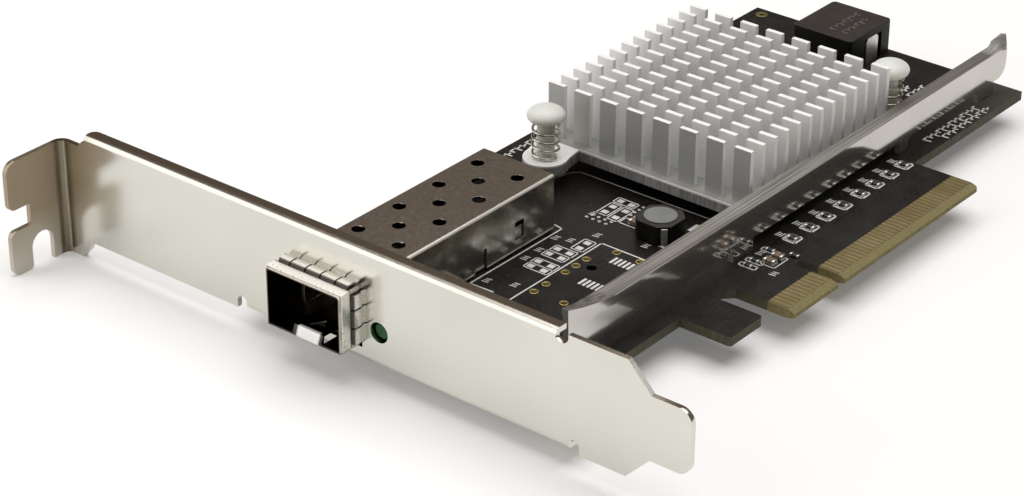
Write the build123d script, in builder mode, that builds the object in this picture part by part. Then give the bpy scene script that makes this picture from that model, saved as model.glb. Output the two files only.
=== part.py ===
from build123d import *
import os
from math import cos, radians, sin

os.makedirs("parts", exist_ok=True)

# Sizes in mm: X from the rail tab to the tongue, Y into the card, Z up from the board

# Bracket sheet
SHEET = 0.86
BRACKET_LENGTH = 120.02
FACE_BOTTOM = -2.59
FACE_TOP = 15.84
TAB_REACH = 11.43
TAB_TOP = 13.6
FOOT_BOTTOM = -5.75
CORNER_INNER = 1.0
BEND_OUTER = 1.0
TOP_FLANGE_START = 5.9
TOP_FLANGE_END = 97.1
TOP_FLANGE_DEPTH = 2.4
LOW_FLANGE_START = 39.1
LOW_FLANGE_END = 99.5
LOW_FLANGE_DEPTH = 8.5
SCREW_SLOT_WIDTH = 4.42
SCREW_SLOT_Y = -5.25
SCREW_SLOT_TOP = -0.1
TONGUE_BOTTOM = 1.49
TONGUE_TOP = 11.68
TONGUE_START = 113.3
SHOULDER_START = 109.35

# Board
BOARD_T = 1.57
BOARD_LEFT = 38.0
BOARD_RIGHT = 92.6
BOARD_FRONT = 1.0
BOARD_BACK = 134.3
HOOK_X = 101.7
HOOK_START = 35.5
HOOK_END = 43.7
EDGE_TIP = 104.65
EDGE_START = 47.7
KEY_START = 59.35
KEY_WIDTH = 1.9
KEY_DEPTH = 8.25
EDGE_END = 99.9
EDGE_CORNER = 0.4
CONTACT_PITCH = 1.0
CONTACT_WIDTH = 0.7
CONTACT_T = 0.04
CONTACT_START = 99.75
BEVEL = 1.3

# Bracket screws
SCREW_XS = (42.8, 86.5)
SCREW_Y = 5.0
SCREW_D = 2.5
SCREW_HEAD_D = 4.7
SCREW_HEAD_H = 1.5

# Cage
CAGE_LEFT = 47.5
CAGE_RIGHT = 61.75
CAGE_FRONT = -4.4
CAGE_BACK = 44.7
CAGE_TOP = 9.8
CAGE_T = 0.3
CAGE_LIFT = 0.35
CAGE_WALL_H = 4.2
PIN_YS = (10.0, 20.5, 31.5, 42.0)
PIN_W = 0.8
PIN_DROP = 0.6
WALL_START = 3.0
SIDE_WINDOW = (25.7, 28.5)
SIDE_WINDOW_H = 3.5
SMALL_WINDOW = (35.2, 37.4)
SMALL_WINDOW_LOW = 2.2
SMALL_WINDOW_H = 3.1
TONGUE_LEFT = 52.4
TONGUE_RIGHT = 58.0
TONGUE_HIGH = 1.95
TONGUE_CREST = 7.5
TONGUE_ROOT = 12.5
LATCH_LEFT = 53.9
LATCH_W = 3.0
LATCH_FRONT = -2.57
LATCH_LENGTH = 2.3
FLOOR_BACK = 31.0

# Indicator
LED_X = 65.24
LED_Z = 3.37
LED_HOLE_D = 3.3
LED_D = 3.0
LED_LEAD = 0.5
LED_LEAD_Y = 4.4

# Controller and heatsink
CHIP_X = 66.0
CHIP_Y = 82.0
SUBSTRATE = 25.0
SUBSTRATE_H = 1.0
LID = 21.0
LID_H = 1.1
PAD_H = 0.4
SINK_BOTTOM = SUBSTRATE_H + LID_H + PAD_H
SINK_BASE = 2.0
SINK_LEFT = 45.2
SINK_RIGHT = 85.9
SINK_FRONT = 62.0
SINK_BACK = 104.0
SINK_TOP = 13.8
FIN_X = 45.88
FIN_DX = 5.165
FIN_W = 3.18
FIN_Y = 63.33
FIN_DY = 3.21
FIN_T = 0.85
PIN_CENTRES = ((50.5, 56.9), (83.4, 105.9))
EAR_R = 3.7
PUSH_SHANK_D = 2.9
PUSH_HOLE_D = 3.2
PUSH_HEAD_D = 6.2
PUSH_HEAD_LOW = 10.9
PUSH_HEAD_H = 2.4
HEAD_UNDERCUT = 0.6
SPRING_D = 4.7
SPRING_WIRE = 0.45
SPRING_TURNS = 4.0

# Stiffener bar
BAR_X = 89.1
BAR_T = 1.0
BAR_START = 13.3
BAR_END = 134.2
BAR_LOW = 2.2
BAR_TOP = 7.4
BAR_LIP = 3.0
BAR_FAR_LIP = 2.4
LIP_STEP = (76.0, 82.0)
FOLD_START = 24.7
FOLD_END = 131.8
# The crease runs out at the near corner: share of the way to FOLD_START, rise over BAR_TOP, lip left
CREASE_STEPS = ((0.0, 2.4, 1.2), (0.32, 1.35, 1.8), (0.63, 0.6, 2.4), (1.0, 0.0, BAR_LIP))
# The lip stands up at the far corner: share of the way to BAR_END, angle from upright, lip width
FLARE_STEPS = ((0.0, 90, BAR_FAR_LIP), (0.5, 50, 2.8), (1.0, 10, 3.2))
BAR_FEET = ((13.3, 21.5), (54.0, 59.2), (101.0, 103.6), (125.5, 130.5))
BAR_TAB_YS = (17.4, 56.6, 102.3, 128.0)
BAR_TAB_W = 2.0

# Inductors and the low parts round them
BLOCK_LEFT = 54.3
BLOCK_RIGHT = 66.3
BLOCK_DEPTH = 12.9
BLOCK_EDGE_GAP = 0.4
BLOCK_FRONT = BOARD_BACK - BLOCK_EDGE_GAP - BLOCK_DEPTH
BLOCK_H = 6.1
BLOCK_STRIP_W = 5.2
BLOCK_STRIP_T = 0.8
BLOCK_STRIP_H = 4.8
BLOCK_STRIP_Y = BLOCK_FRONT + 7.2
BLOCK_LEAF_W = 3.7
LEAF_INSET = 0.15
REGULATOR_GAP = 3.0
REGULATOR_SIZE = 5.0
DRUM_X = 75.2
DRUM_Y = 54.2
DRUM_SIZE = 6.9
DRUM_H = 3.3
DRUM_CHAMFER = 1.6
DRUM_CAP_D = 5.3
DRUM_CAP_H = 0.2

# Chip parts: centre x, centre y, length along x, width along y
ROW_X = 91.85
ROW_YS = (66.1, 70.8, 75.4, 80.2, 85.2, 89.5, 93.8, 98.1)
ROW_LENGTH = 1.7
ROW_WIDTH = 1.2
ROW_H = 0.5
SMALL_PARTS = ((91.4, 54.6), (91.4, 56.4), (91.4, 60.6), (95.2, 61.6))
SMALL_LENGTH = 1.6
SMALL_WIDTH = 0.8
SMALL_H = 0.5
MLCC_LENGTH = 2.0
MLCC_GAP = 0.35
MLCC_PARTS = ((93.56, 57.35), (93.62, 59.41),
              (DRUM_X - DRUM_SIZE / 2 - MLCC_GAP - MLCC_LENGTH / 2, DRUM_Y))
MLCC_WIDTH = 1.25
MLCC_H = 0.9
END_SHARE = 0.24

# Plated holes of the unused second port
SPARE_HOLES = ((71.2, 28.0), (71.2, 30.9), (71.2, 35.6), (71.2, 38.2), (71.2, 40.8), (73.5, 45.4),
               (78.0, 45.3), (76.8, 28.1))
SPARE_D = 1.0
PEG_HOLE = (73.5, 39.1)
PEG_D = 1.6


def block(x0, x1, y0, y1, z0, z1, mode=Mode.ADD):
    """Add a box between two corners to the part being built."""
    with Locations(((x0 + x1) / 2, (y0 + y1) / 2, (z0 + z1) / 2)):
        Box(x1 - x0, y1 - y0, z1 - z0, mode=mode)


def bar_section(angle, lip, rise=0.0):
    """Corners of the bar's fold in (x, z): lip angle from upright, lip width, rise of the crease."""
    low = BAR_TOP - BAR_T - 0.4
    knee = BAR_TOP + rise - BAR_T / 2
    tilt = radians(angle)
    half = tilt / 2
    web = BAR_X - BAR_T / 2
    knee_x = web - 0.15 * sin(half)
    end_x = knee_x - (lip - BAR_T / 2) * sin(tilt)
    end_z = knee + (lip - BAR_T / 2) * cos(tilt)
    along = (cos(half), sin(half))
    tip = (cos(tilt), sin(tilt))
    reach = BAR_T / 2
    knee_reach = reach / cos(half)
    outer = [(web + reach, low), (knee_x + knee_reach * along[0], knee + knee_reach * along[1]),
             (end_x + reach * tip[0], end_z + reach * tip[1])]
    inner = [(end_x - reach * tip[0], end_z - reach * tip[1]),
             (knee_x - knee_reach * along[0], knee - knee_reach * along[1]), (web - reach, low)]
    return outer + inner


# Bracket: one bent sheet
with BuildPart() as bracket:
    with BuildSketch(Plane.XY.offset(FOOT_BOTTOM)) as corner:
        Polygon((0, -TAB_REACH), (SHEET, -TAB_REACH), (SHEET, 0), (3.0, 0), (3.0, SHEET), (0, SHEET),
                align=None)
        fillet(corner.vertices().sort_by_distance((SHEET, 0))[0], CORNER_INNER)
        fillet(corner.vertices().sort_by_distance((0, SHEET))[0], CORNER_INNER + SHEET)
    extrude(amount=TAB_TOP - FOOT_BOTTOM)
    with BuildSketch(Plane.XZ) as face:
        Polygon((2.5, FOOT_BOTTOM), (4.0, FOOT_BOTTOM), (5.5, -4.1), (6.25, FACE_BOTTOM),
                (LOW_FLANGE_START - 0.9, FACE_BOTTOM), (LOW_FLANGE_START - 0.9, -1.2),
                (LOW_FLANGE_END + 0.9, -1.2), (LOW_FLANGE_END + 0.9, FACE_BOTTOM),
                (SHOULDER_START, FACE_BOTTOM), (TONGUE_START, TONGUE_BOTTOM),
                (BRACKET_LENGTH, TONGUE_BOTTOM), (BRACKET_LENGTH, TONGUE_TOP),
                (TONGUE_START, TONGUE_TOP), (SHOULDER_START, FACE_TOP),
                (TOP_FLANGE_END + 0.9, FACE_TOP), (TOP_FLANGE_END + 0.9, FACE_TOP - 1.3),
                (TAB_TOP - 8.3, FACE_TOP - 1.3), (4.4, TAB_TOP), (2.5, TAB_TOP), align=None)
    extrude(amount=-SHEET)
    with BuildSketch(Plane.YZ.offset(TOP_FLANGE_START)) as top_flange:
        Polygon((0, FACE_TOP - 1.5), (0, FACE_TOP), (TOP_FLANGE_DEPTH, FACE_TOP),
                (TOP_FLANGE_DEPTH, FACE_TOP - SHEET), (SHEET, FACE_TOP - SHEET),
                (SHEET, FACE_TOP - 1.5), align=None)
        fillet(top_flange.vertices().sort_by_distance((0, FACE_TOP))[0], BEND_OUTER)
        fillet(top_flange.vertices().sort_by_distance((SHEET, FACE_TOP - SHEET))[0], BEND_OUTER - SHEET)
    extrude(amount=TOP_FLANGE_END - TOP_FLANGE_START)
    with BuildSketch(Plane.YZ.offset(LOW_FLANGE_START)) as low_flange:
        Polygon((0, -1.0), (0, -BOARD_T - SHEET), (LOW_FLANGE_DEPTH, -BOARD_T - SHEET),
                (LOW_FLANGE_DEPTH, -BOARD_T), (SHEET, -BOARD_T), (SHEET, -1.0), align=None)
        fillet(low_flange.vertices().sort_by_distance((0, -BOARD_T - SHEET))[0], BEND_OUTER)
        fillet(low_flange.vertices().sort_by_distance((SHEET, -BOARD_T))[0], BEND_OUTER - SHEET)
    extrude(amount=LOW_FLANGE_END - LOW_FLANGE_START)
    # Relief notches at the ends of the flanges
    with BuildSketch(Plane.XZ) as notches:
        with Locations((TOP_FLANGE_END + 1.1, FACE_TOP)):
            SlotCenterToCenter(2 * (FACE_TOP - 14.2 - 1.1), 2.2, rotation=90)
        with Locations((LOW_FLANGE_START - 0.93, FACE_BOTTOM)):
            SlotCenterToCenter(2 * (-0.42 - FACE_BOTTOM - 0.93), 1.86, rotation=90)
        with Locations((LOW_FLANGE_END + 0.97, FACE_BOTTOM)):
            SlotCenterToCenter(2 * (-0.5 - FACE_BOTTOM - 0.97), 1.94, rotation=90)
        with Locations(((CAGE_LEFT + CAGE_RIGHT) / 2, CAGE_TOP / 2 + 0.05)):
            Rectangle(CAGE_RIGHT - CAGE_LEFT + 0.5, CAGE_TOP + 0.5)
        with Locations((LED_X, LED_Z)):
            Circle(LED_HOLE_D / 2)
    extrude(amount=-SHEET - 1, mode=Mode.SUBTRACT)
    # Screw slot and end notch of the rail tab
    with BuildSketch(Plane.YZ) as slot:
        with Locations((SCREW_SLOT_Y, SCREW_SLOT_TOP - SCREW_SLOT_WIDTH / 2)):
            Circle(SCREW_SLOT_WIDTH / 2)
            Rectangle(SCREW_SLOT_WIDTH, 10, align=(Align.CENTER, Align.MAX))
        with Locations((-TAB_REACH - 1, 1.86)):
            Rectangle(5.13, 3.64, align=(Align.MIN, Align.MIN))
    extrude(amount=SHEET, mode=Mode.SUBTRACT)
    with Locations(Plane.XY.offset(-BOARD_T - SHEET)):
        with Locations(*[(x, SCREW_Y) for x in SCREW_XS]):
            Cylinder(SCREW_D / 2, 2.2 * SHEET, mode=Mode.SUBTRACT)
    fillet(bracket.edges().filter_by(Axis.X).sort_by_distance((SHEET / 2, -TAB_REACH, TAB_TOP))[0], 2.0)
    fillet(bracket.edges().filter_by(Axis.X).sort_by_distance((SHEET / 2, -TAB_REACH, FOOT_BOTTOM))[0], 1.5)
    fillet(bracket.edges().filter_by(Axis.X).sort_by_distance((SHEET / 2, -TAB_REACH, 5.5))[0], 1.2)
    fillet(bracket.edges().filter_by(Axis.X).sort_by_distance(
        (SHEET / 2, SCREW_SLOT_Y - SCREW_SLOT_WIDTH / 2, FOOT_BOTTOM))[0], 0.7)
    fillet(bracket.edges().filter_by(Axis.X).sort_by_distance((SHEET / 2, -TAB_REACH, 1.86))[0], 1.2)
    fillet(bracket.edges().filter_by(Axis.Y).sort_by_distance((BRACKET_LENGTH, 0.4, TONGUE_TOP))[0], 2.2)
    fillet(bracket.edges().filter_by(Axis.Y).sort_by_distance((BRACKET_LENGTH, 0.4, TONGUE_BOTTOM))[0], 2.2)
    fillet(bracket.edges().filter_by(Axis.Z).sort_by_distance(
        (TOP_FLANGE_START, TOP_FLANGE_DEPTH, FACE_TOP - SHEET / 2))[0], 1.2)
bracket.part.label = "bracket"
export_step(bracket.part, "parts/bracket.step")

# Screws from the component side into the lower flange
with BuildPart() as bracket_screws:
    with Locations(*[(x, SCREW_Y, 0) for x in SCREW_XS]):
        Cylinder(SCREW_HEAD_D / 2, SCREW_HEAD_H, align=(Align.CENTER, Align.CENTER, Align.MIN))
        Cylinder(SCREW_D / 2, BOARD_T + SHEET + 0.3, align=(Align.CENTER, Align.CENTER, Align.MAX))
    with Locations(*[(x, SCREW_Y, SCREW_HEAD_H) for x in SCREW_XS]):
        Box(2.6, 0.6, 1.6, mode=Mode.SUBTRACT)
        Box(0.6, 2.6, 1.6, mode=Mode.SUBTRACT)
bracket_screws.part.label = "bracket_screws"
export_step(bracket_screws.part, "parts/bracket_screws.step")

# Circuit board
with BuildPart() as circuit_board:
    with BuildSketch(Plane.XY.offset(-BOARD_T)) as outline:
        Polygon((BOARD_LEFT, BOARD_FRONT), (BOARD_RIGHT, BOARD_FRONT), (BOARD_RIGHT, HOOK_START),
                (HOOK_X, HOOK_START), (HOOK_X, HOOK_END), (BOARD_RIGHT + 1.5, HOOK_END),
                (BOARD_RIGHT, HOOK_END + 1.5), (BOARD_RIGHT, EDGE_START - 1.5),
                (BOARD_RIGHT + 1.5, EDGE_START), (EDGE_TIP, EDGE_START), (EDGE_TIP, KEY_START),
                (EDGE_TIP - KEY_DEPTH, KEY_START), (EDGE_TIP - KEY_DEPTH, KEY_START + KEY_WIDTH),
                (EDGE_TIP, KEY_START + KEY_WIDTH), (EDGE_TIP, EDGE_END - EDGE_CORNER),
                (EDGE_TIP - EDGE_CORNER, EDGE_END), (BOARD_RIGHT, EDGE_END), (BOARD_RIGHT, BOARD_BACK),
                (BOARD_LEFT, BOARD_BACK), align=None)
        fillet(outline.vertices().sort_by_distance((EDGE_TIP - KEY_DEPTH, KEY_START))[0], 0.9)
        fillet(outline.vertices().sort_by_distance((EDGE_TIP - KEY_DEPTH, KEY_START + KEY_WIDTH))[0], 0.9)
        fillet(outline.vertices().sort_by_distance((HOOK_X, HOOK_START))[0], 0.6)
        fillet(outline.vertices().sort_by_distance((HOOK_X, HOOK_END))[0], 0.6)
        with Locations(*[(x, SCREW_Y) for x in SCREW_XS]):
            Circle(SCREW_D / 2 + 0.15, mode=Mode.SUBTRACT)
        with Locations(*PIN_CENTRES):
            Circle(PUSH_HOLE_D / 2, mode=Mode.SUBTRACT)
        with Locations(*SPARE_HOLES):
            Circle(SPARE_D / 2, mode=Mode.SUBTRACT)
        with Locations(PEG_HOLE):
            Circle(PEG_D / 2, mode=Mode.SUBTRACT)
        for x in (CAGE_LEFT + 1.5 * CAGE_T, CAGE_RIGHT - 1.5 * CAGE_T):
            with Locations(*[(x, y) for y in PIN_YS]):
                Rectangle(CAGE_T + 0.2, PIN_W + 0.2, mode=Mode.SUBTRACT)
        with Locations(*[(LED_X + s, LED_LEAD_Y) for s in (-1.27, 1.27)]):
            Rectangle(LED_LEAD + 0.2, LED_LEAD + 0.2, mode=Mode.SUBTRACT)
        with Locations(*[(BAR_X - BAR_T / 2, y) for y in BAR_TAB_YS]):
            Rectangle(BAR_T + 0.2, BAR_TAB_W + 0.3, mode=Mode.SUBTRACT)
    extrude(amount=BOARD_T)
    # Bevels along the tip of the card edge
    with BuildSketch(Plane.XZ.offset(-EDGE_START + 1)) as bevels:
        Polygon((EDGE_TIP - BEVEL, 0), (EDGE_TIP + 0.1, 0.1), (EDGE_TIP + 0.1, -0.45), (EDGE_TIP, -0.45),
                align=None)
        Polygon((EDGE_TIP - BEVEL, -BOARD_T), (EDGE_TIP, 0.45 - BOARD_T), (EDGE_TIP + 0.1, 0.45 - BOARD_T),
                (EDGE_TIP + 0.1, -0.1 - BOARD_T), align=None)
    extrude(amount=-(EDGE_END - EDGE_START + 2), mode=Mode.SUBTRACT)
circuit_board.part.label = "circuit_board"
export_step(circuit_board.part, "parts/circuit_board.step")

# Gold contacts on both faces of the card edge
FIRST_YS = [EDGE_START + 0.83 + CONTACT_PITCH * i for i in range(11)]
SECOND_YS = [KEY_START + KEY_WIDTH + 0.85 + CONTACT_PITCH * i for i in range(38)]
with BuildPart() as edge_contacts:
    for z in (0, -BOARD_T - CONTACT_T):
        with Locations(*[(CONTACT_START, y, z) for y in FIRST_YS + SECOND_YS]):
            Box(EDGE_TIP - BEVEL - CONTACT_START, CONTACT_WIDTH, CONTACT_T,
                align=(Align.MIN, Align.CENTER, Align.MIN))
edge_contacts.part.label = "edge_contacts"
export_step(edge_contacts.part, "parts/edge_contacts.step")

# Stiffener bar: web, feet, folded lip and its unfolding ends
with BuildPart() as stiffener_bar:
    with BuildSketch(Plane.YZ.offset(BAR_X - BAR_T)) as web:
        with Locations(((BAR_START + BAR_END) / 2, BAR_LOW)):
            Rectangle(BAR_END - BAR_START, BAR_TOP - BAR_T - 0.4 - BAR_LOW, align=(Align.CENTER, Align.MIN))
        for y0, y1 in BAR_FEET:
            with Locations(((y0 + y1) / 2, 0)):
                Rectangle(y1 - y0, BAR_LOW, align=(Align.CENTER, Align.MIN))
        for y in BAR_TAB_YS:
            with Locations((y, 0)):
                Rectangle(BAR_TAB_W, BOARD_T + 0.5, align=(Align.CENTER, Align.MAX))
        fillet(web.vertices().sort_by_distance((BAR_END, BAR_LOW))[0], 2.5)
    extrude(amount=BAR_T)
    for share, rise, lip in CREASE_STEPS:
        with BuildSketch(Plane.XZ.offset(-BAR_START - share * (FOLD_START - BAR_START))):
            Polygon(*bar_section(90, lip, rise), align=None)
    loft(ruled=True)
    with BuildSketch(Plane.XZ.offset(-FOLD_START)):
        Polygon(*bar_section(90, BAR_LIP), align=None)
    extrude(amount=-(LIP_STEP[0] - FOLD_START))
    for y, lip in zip(LIP_STEP, (BAR_LIP, BAR_FAR_LIP)):
        with BuildSketch(Plane.XZ.offset(-y)):
            Polygon(*bar_section(90, lip), align=None)
    loft(ruled=True)
    with BuildSketch(Plane.XZ.offset(-LIP_STEP[1])):
        Polygon(*bar_section(90, BAR_FAR_LIP), align=None)
    extrude(amount=-(FOLD_END - LIP_STEP[1]))
    for share, angle, lip in FLARE_STEPS:
        with BuildSketch(Plane.XZ.offset(-FOLD_END - share * (BAR_END - FOLD_END))):
            Polygon(*bar_section(angle, lip), align=None)
    loft(ruled=True)
stiffener_bar.part.label = "stiffener_bar"
export_step(stiffener_bar.part, "parts/stiffener_bar.step")

# Cage cover: top, two sides and back
with BuildPart() as cage_cover:
    block(CAGE_LEFT, CAGE_RIGHT, CAGE_FRONT, CAGE_BACK, CAGE_LIFT, CAGE_TOP)
    fillet(cage_cover.edges().filter_by(Axis.Y).group_by(Axis.Z)[-1], 0.5)
    block(CAGE_LEFT + CAGE_T, CAGE_RIGHT - CAGE_T, CAGE_FRONT - 1, CAGE_BACK - CAGE_T, CAGE_LIFT - 1,
          CAGE_TOP - CAGE_T, mode=Mode.SUBTRACT)
    for x in (CAGE_LEFT + 2.76, CAGE_RIGHT - 3.61):
        with Locations(*[(x, 12.62 + 9.195 * k, CAGE_TOP) for k in range(4)]):
            Cylinder(1.05, 3 * CAGE_T, mode=Mode.SUBTRACT)
    with Locations(*[(CAGE_LEFT + 6.7, 17.22 + 9.195 * k, CAGE_TOP) for k in range(3)]):
        Cylinder(1.05, 3 * CAGE_T, mode=Mode.SUBTRACT)
    block(CAGE_RIGHT - 1.5 * CAGE_T, CAGE_RIGHT + 1, *SIDE_WINDOW, CAGE_LIFT - 1, CAGE_LIFT + SIDE_WINDOW_H,
          mode=Mode.SUBTRACT)
    block(CAGE_RIGHT - 1.5 * CAGE_T, CAGE_RIGHT + 1, *SMALL_WINDOW, SMALL_WINDOW_LOW,
          SMALL_WINDOW_LOW + SMALL_WINDOW_H, mode=Mode.SUBTRACT)
cage_cover.part.label = "cage_cover"
export_step(cage_cover.part, "parts/cage_cover.step")

# Cage base: floor, inner side walls, latch tongue and board pins
INNER_LEFT = CAGE_LEFT + CAGE_T
INNER_RIGHT = CAGE_RIGHT - CAGE_T
FLOOR_TOP = CAGE_LIFT + CAGE_T
with BuildPart() as cage_base:
    block(INNER_LEFT, INNER_RIGHT, CAGE_FRONT, FLOOR_BACK, CAGE_LIFT, FLOOR_TOP)
    for x in (INNER_LEFT, INNER_RIGHT - CAGE_T):
        block(x, x + CAGE_T, WALL_START, CAGE_BACK - CAGE_T, CAGE_LIFT, CAGE_WALL_H)
        for y in PIN_YS:
            block(x, x + CAGE_T, y - 0.9, y + 0.9, 0, CAGE_LIFT)
            block(x, x + CAGE_T, y - PIN_W / 2, y + PIN_W / 2, -BOARD_T - PIN_DROP, 0)
    block(TONGUE_LEFT, TONGUE_RIGHT, CAGE_FRONT + 2 * CAGE_T, TONGUE_ROOT - 2 * CAGE_T, CAGE_LIFT - 1,
          CAGE_LIFT + 1, mode=Mode.SUBTRACT)
    with BuildSketch(Plane.YZ.offset(TONGUE_LEFT)) as tongue:
        Polygon((CAGE_FRONT, CAGE_LIFT), (CAGE_FRONT, FLOOR_TOP),
                (CAGE_FRONT + 1.7 * CAGE_T, TONGUE_HIGH), (TONGUE_CREST, TONGUE_HIGH - 0.6 * CAGE_T),
                (TONGUE_ROOT, FLOOR_TOP), (TONGUE_ROOT, CAGE_LIFT),
                (TONGUE_ROOT - 2 * CAGE_T, CAGE_LIFT), (TONGUE_CREST, TONGUE_HIGH - 1.6 * CAGE_T),
                (CAGE_FRONT + 2.7 * CAGE_T, TONGUE_HIGH - CAGE_T), (CAGE_FRONT + 2 * CAGE_T, CAGE_LIFT),
                align=None)
    extrude(amount=TONGUE_RIGHT - TONGUE_LEFT)
    with BuildSketch(Plane.XY.offset(CAGE_LIFT)) as latch:
        Polygon((LATCH_LEFT, LATCH_FRONT), (LATCH_LEFT + LATCH_W, LATCH_FRONT),
                (LATCH_LEFT + LATCH_W / 2, LATCH_FRONT + LATCH_LENGTH), align=None)
    extrude(amount=TONGUE_HIGH, mode=Mode.SUBTRACT)
cage_base.part.label = "cage_base"
export_step(cage_base.part, "parts/cage_base.step")

# Spring collar between the cage and the bracket
RIM_T = 0.2
BULGE = 0.75
RIM_BACK = -2.2
TOP_SLITS = (50.2, 53.1, 56.0, 58.9)
SIDE_SLITS = (3.8, 6.8)
with BuildPart() as cage_gasket:
    block(CAGE_LEFT - RIM_T, CAGE_RIGHT + RIM_T, CAGE_FRONT + 0.3, RIM_BACK, CAGE_LIFT + 0.3,
          CAGE_TOP + RIM_T)
    with BuildSketch(Plane.YZ.offset(CAGE_LEFT + 0.5)) as top_fingers:
        Polygon((RIM_BACK - 0.2, CAGE_TOP), (RIM_BACK - 0.2, CAGE_TOP + RIM_T), (RIM_BACK, CAGE_TOP + RIM_T),
                (RIM_BACK + 0.3, CAGE_TOP + BULGE), (-0.6, CAGE_TOP + BULGE), (0, CAGE_TOP + 0.45),
                (0, CAGE_TOP + 0.2), (-0.7, CAGE_TOP + BULGE - RIM_T),
                (RIM_BACK + 0.45, CAGE_TOP + BULGE - RIM_T), (RIM_BACK + 0.15, CAGE_TOP), align=None)
    extrude(amount=CAGE_RIGHT - CAGE_LEFT - 1.0)
    for side, edge in ((-1, CAGE_LEFT), (1, CAGE_RIGHT)):
        with BuildSketch(Plane.XY.offset(CAGE_LIFT + 0.8)) as side_fingers:
            Polygon((edge, RIM_BACK - 0.2), (edge + side * RIM_T, RIM_BACK - 0.2),
                    (edge + side * RIM_T, RIM_BACK), (edge + side * BULGE, RIM_BACK + 0.3),
                    (edge + side * BULGE, -0.6), (edge + side * 0.45, 0), (edge + side * 0.2, 0),
                    (edge + side * (BULGE - RIM_T), -0.7), (edge + side * (BULGE - RIM_T), RIM_BACK + 0.45),
                    (edge, RIM_BACK + 0.15), align=None)
        extrude(amount=CAGE_TOP - CAGE_LIFT - 1.4)
    block(CAGE_LEFT, CAGE_RIGHT, CAGE_FRONT - 1, 1, CAGE_LIFT - 1, CAGE_TOP, mode=Mode.SUBTRACT)
    for x in TOP_SLITS:
        block(x - 0.12, x + 0.12, RIM_BACK, 1, CAGE_TOP, CAGE_TOP + 2, mode=Mode.SUBTRACT)
    for z in SIDE_SLITS:
        block(CAGE_LEFT - 2, CAGE_RIGHT + 2, RIM_BACK, 1, z - 0.12, z + 0.12, mode=Mode.SUBTRACT)
cage_gasket.part.label = "cage_gasket"
export_step(cage_gasket.part, "parts/cage_gasket.step")

# Connector inside the cage
SOCKET_LEFT = 50.1
SOCKET_RIGHT = 59.2
SOCKET_FRONT = 32.5
SOCKET_BACK = 41.5
SOCKET_TOP = 6.8
SLOT_LOW = 3.1
SLOT_HIGH = 4.3
with BuildPart() as socket_housing:
    block(SOCKET_LEFT, SOCKET_RIGHT, SOCKET_FRONT, SOCKET_BACK, 0, SOCKET_TOP)
    block(SOCKET_LEFT + 0.4, SOCKET_RIGHT - 0.4, SOCKET_FRONT - 1, SOCKET_FRONT + 6, SLOT_LOW, SLOT_HIGH,
          mode=Mode.SUBTRACT)
    with Locations(*[(SOCKET_LEFT + 0.95 + 0.8 * i, 0, 0) for i in range(10)]):
        with Locations((0, SOCKET_FRONT + 4, SLOT_HIGH), (0, SOCKET_FRONT + 4, SLOT_LOW - 0.25)):
            Box(0.4, 3.0, 0.25, align=(Align.CENTER, Align.CENTER, Align.MIN), mode=Mode.SUBTRACT)
        with Locations((0, SOCKET_BACK - 0.6, 0)):
            Box(0.4, 2.0, 0.25, align=(Align.CENTER, Align.CENTER, Align.MIN), mode=Mode.SUBTRACT)
socket_housing.part.label = "socket_housing"
export_step(socket_housing.part, "parts/socket_housing.step")

with BuildPart() as socket_contacts:
    with Locations(*[(SOCKET_LEFT + 0.95 + 0.8 * i, 0, 0) for i in range(10)]):
        with Locations((0, SOCKET_FRONT + 4, SLOT_HIGH - 0.1), (0, SOCKET_FRONT + 4, SLOT_LOW - 0.25)):
            Box(0.4, 3.0, 0.35, align=(Align.CENTER, Align.CENTER, Align.MIN))
        with Locations((0, SOCKET_BACK - 0.6, 0)):
            Box(0.4, 2.0, 0.25, align=(Align.CENTER, Align.CENTER, Align.MIN))
socket_contacts.part.label = "socket_contacts"
export_step(socket_contacts.part, "parts/socket_contacts.step")

# Indicator: holder, lens and leads
HOLDER_FRONT = 1.3
HOLDER_BACK = 6.0
with BuildPart() as led_holder:
    block(LED_X - 2.3, LED_X + 2.3, HOLDER_FRONT, HOLDER_BACK, 0, LED_Z + 2.4)
    with Locations(Plane((LED_X, HOLDER_FRONT, LED_Z), z_dir=(0, 1, 0))):
        Cylinder(LED_D / 2, 2.4, mode=Mode.SUBTRACT)
    for s in (-1.27, 1.27):
        block(LED_X + s - LED_LEAD / 2, LED_X + s + LED_LEAD / 2, LED_LEAD_Y - LED_LEAD / 2,
              LED_LEAD_Y + LED_LEAD / 2, 0, 1.5, mode=Mode.SUBTRACT)
led_holder.part.label = "led_holder"
export_step(led_holder.part, "parts/led_holder.step")

with BuildPart() as led_lens:
    with Locations(Plane((LED_X, HOLDER_FRONT + 1.2, LED_Z), z_dir=(0, -1, 0))):
        Cylinder(LED_D / 2, 1.9, align=(Align.CENTER, Align.CENTER, Align.MIN))
    chamfer(led_lens.faces().sort_by(Axis.Y)[0].edges(), 0.4)
led_lens.part.label = "led_lens"
export_step(led_lens.part, "parts/led_lens.step")

with BuildPart() as led_leads:
    for s in (-1.27, 1.27):
        block(LED_X + s - LED_LEAD / 2, LED_X + s + LED_LEAD / 2, LED_LEAD_Y - LED_LEAD / 2,
              LED_LEAD_Y + LED_LEAD / 2, -BOARD_T, 1.5)
led_leads.part.label = "led_leads"
export_step(led_leads.part, "parts/led_leads.step")

# Controller under the heatsink
with BuildPart() as controller_substrate:
    with Locations((CHIP_X, CHIP_Y, 0)):
        Box(SUBSTRATE, SUBSTRATE, SUBSTRATE_H, align=(Align.CENTER, Align.CENTER, Align.MIN))
controller_substrate.part.label = "controller_substrate"
export_step(controller_substrate.part, "parts/controller_substrate.step")

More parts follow.
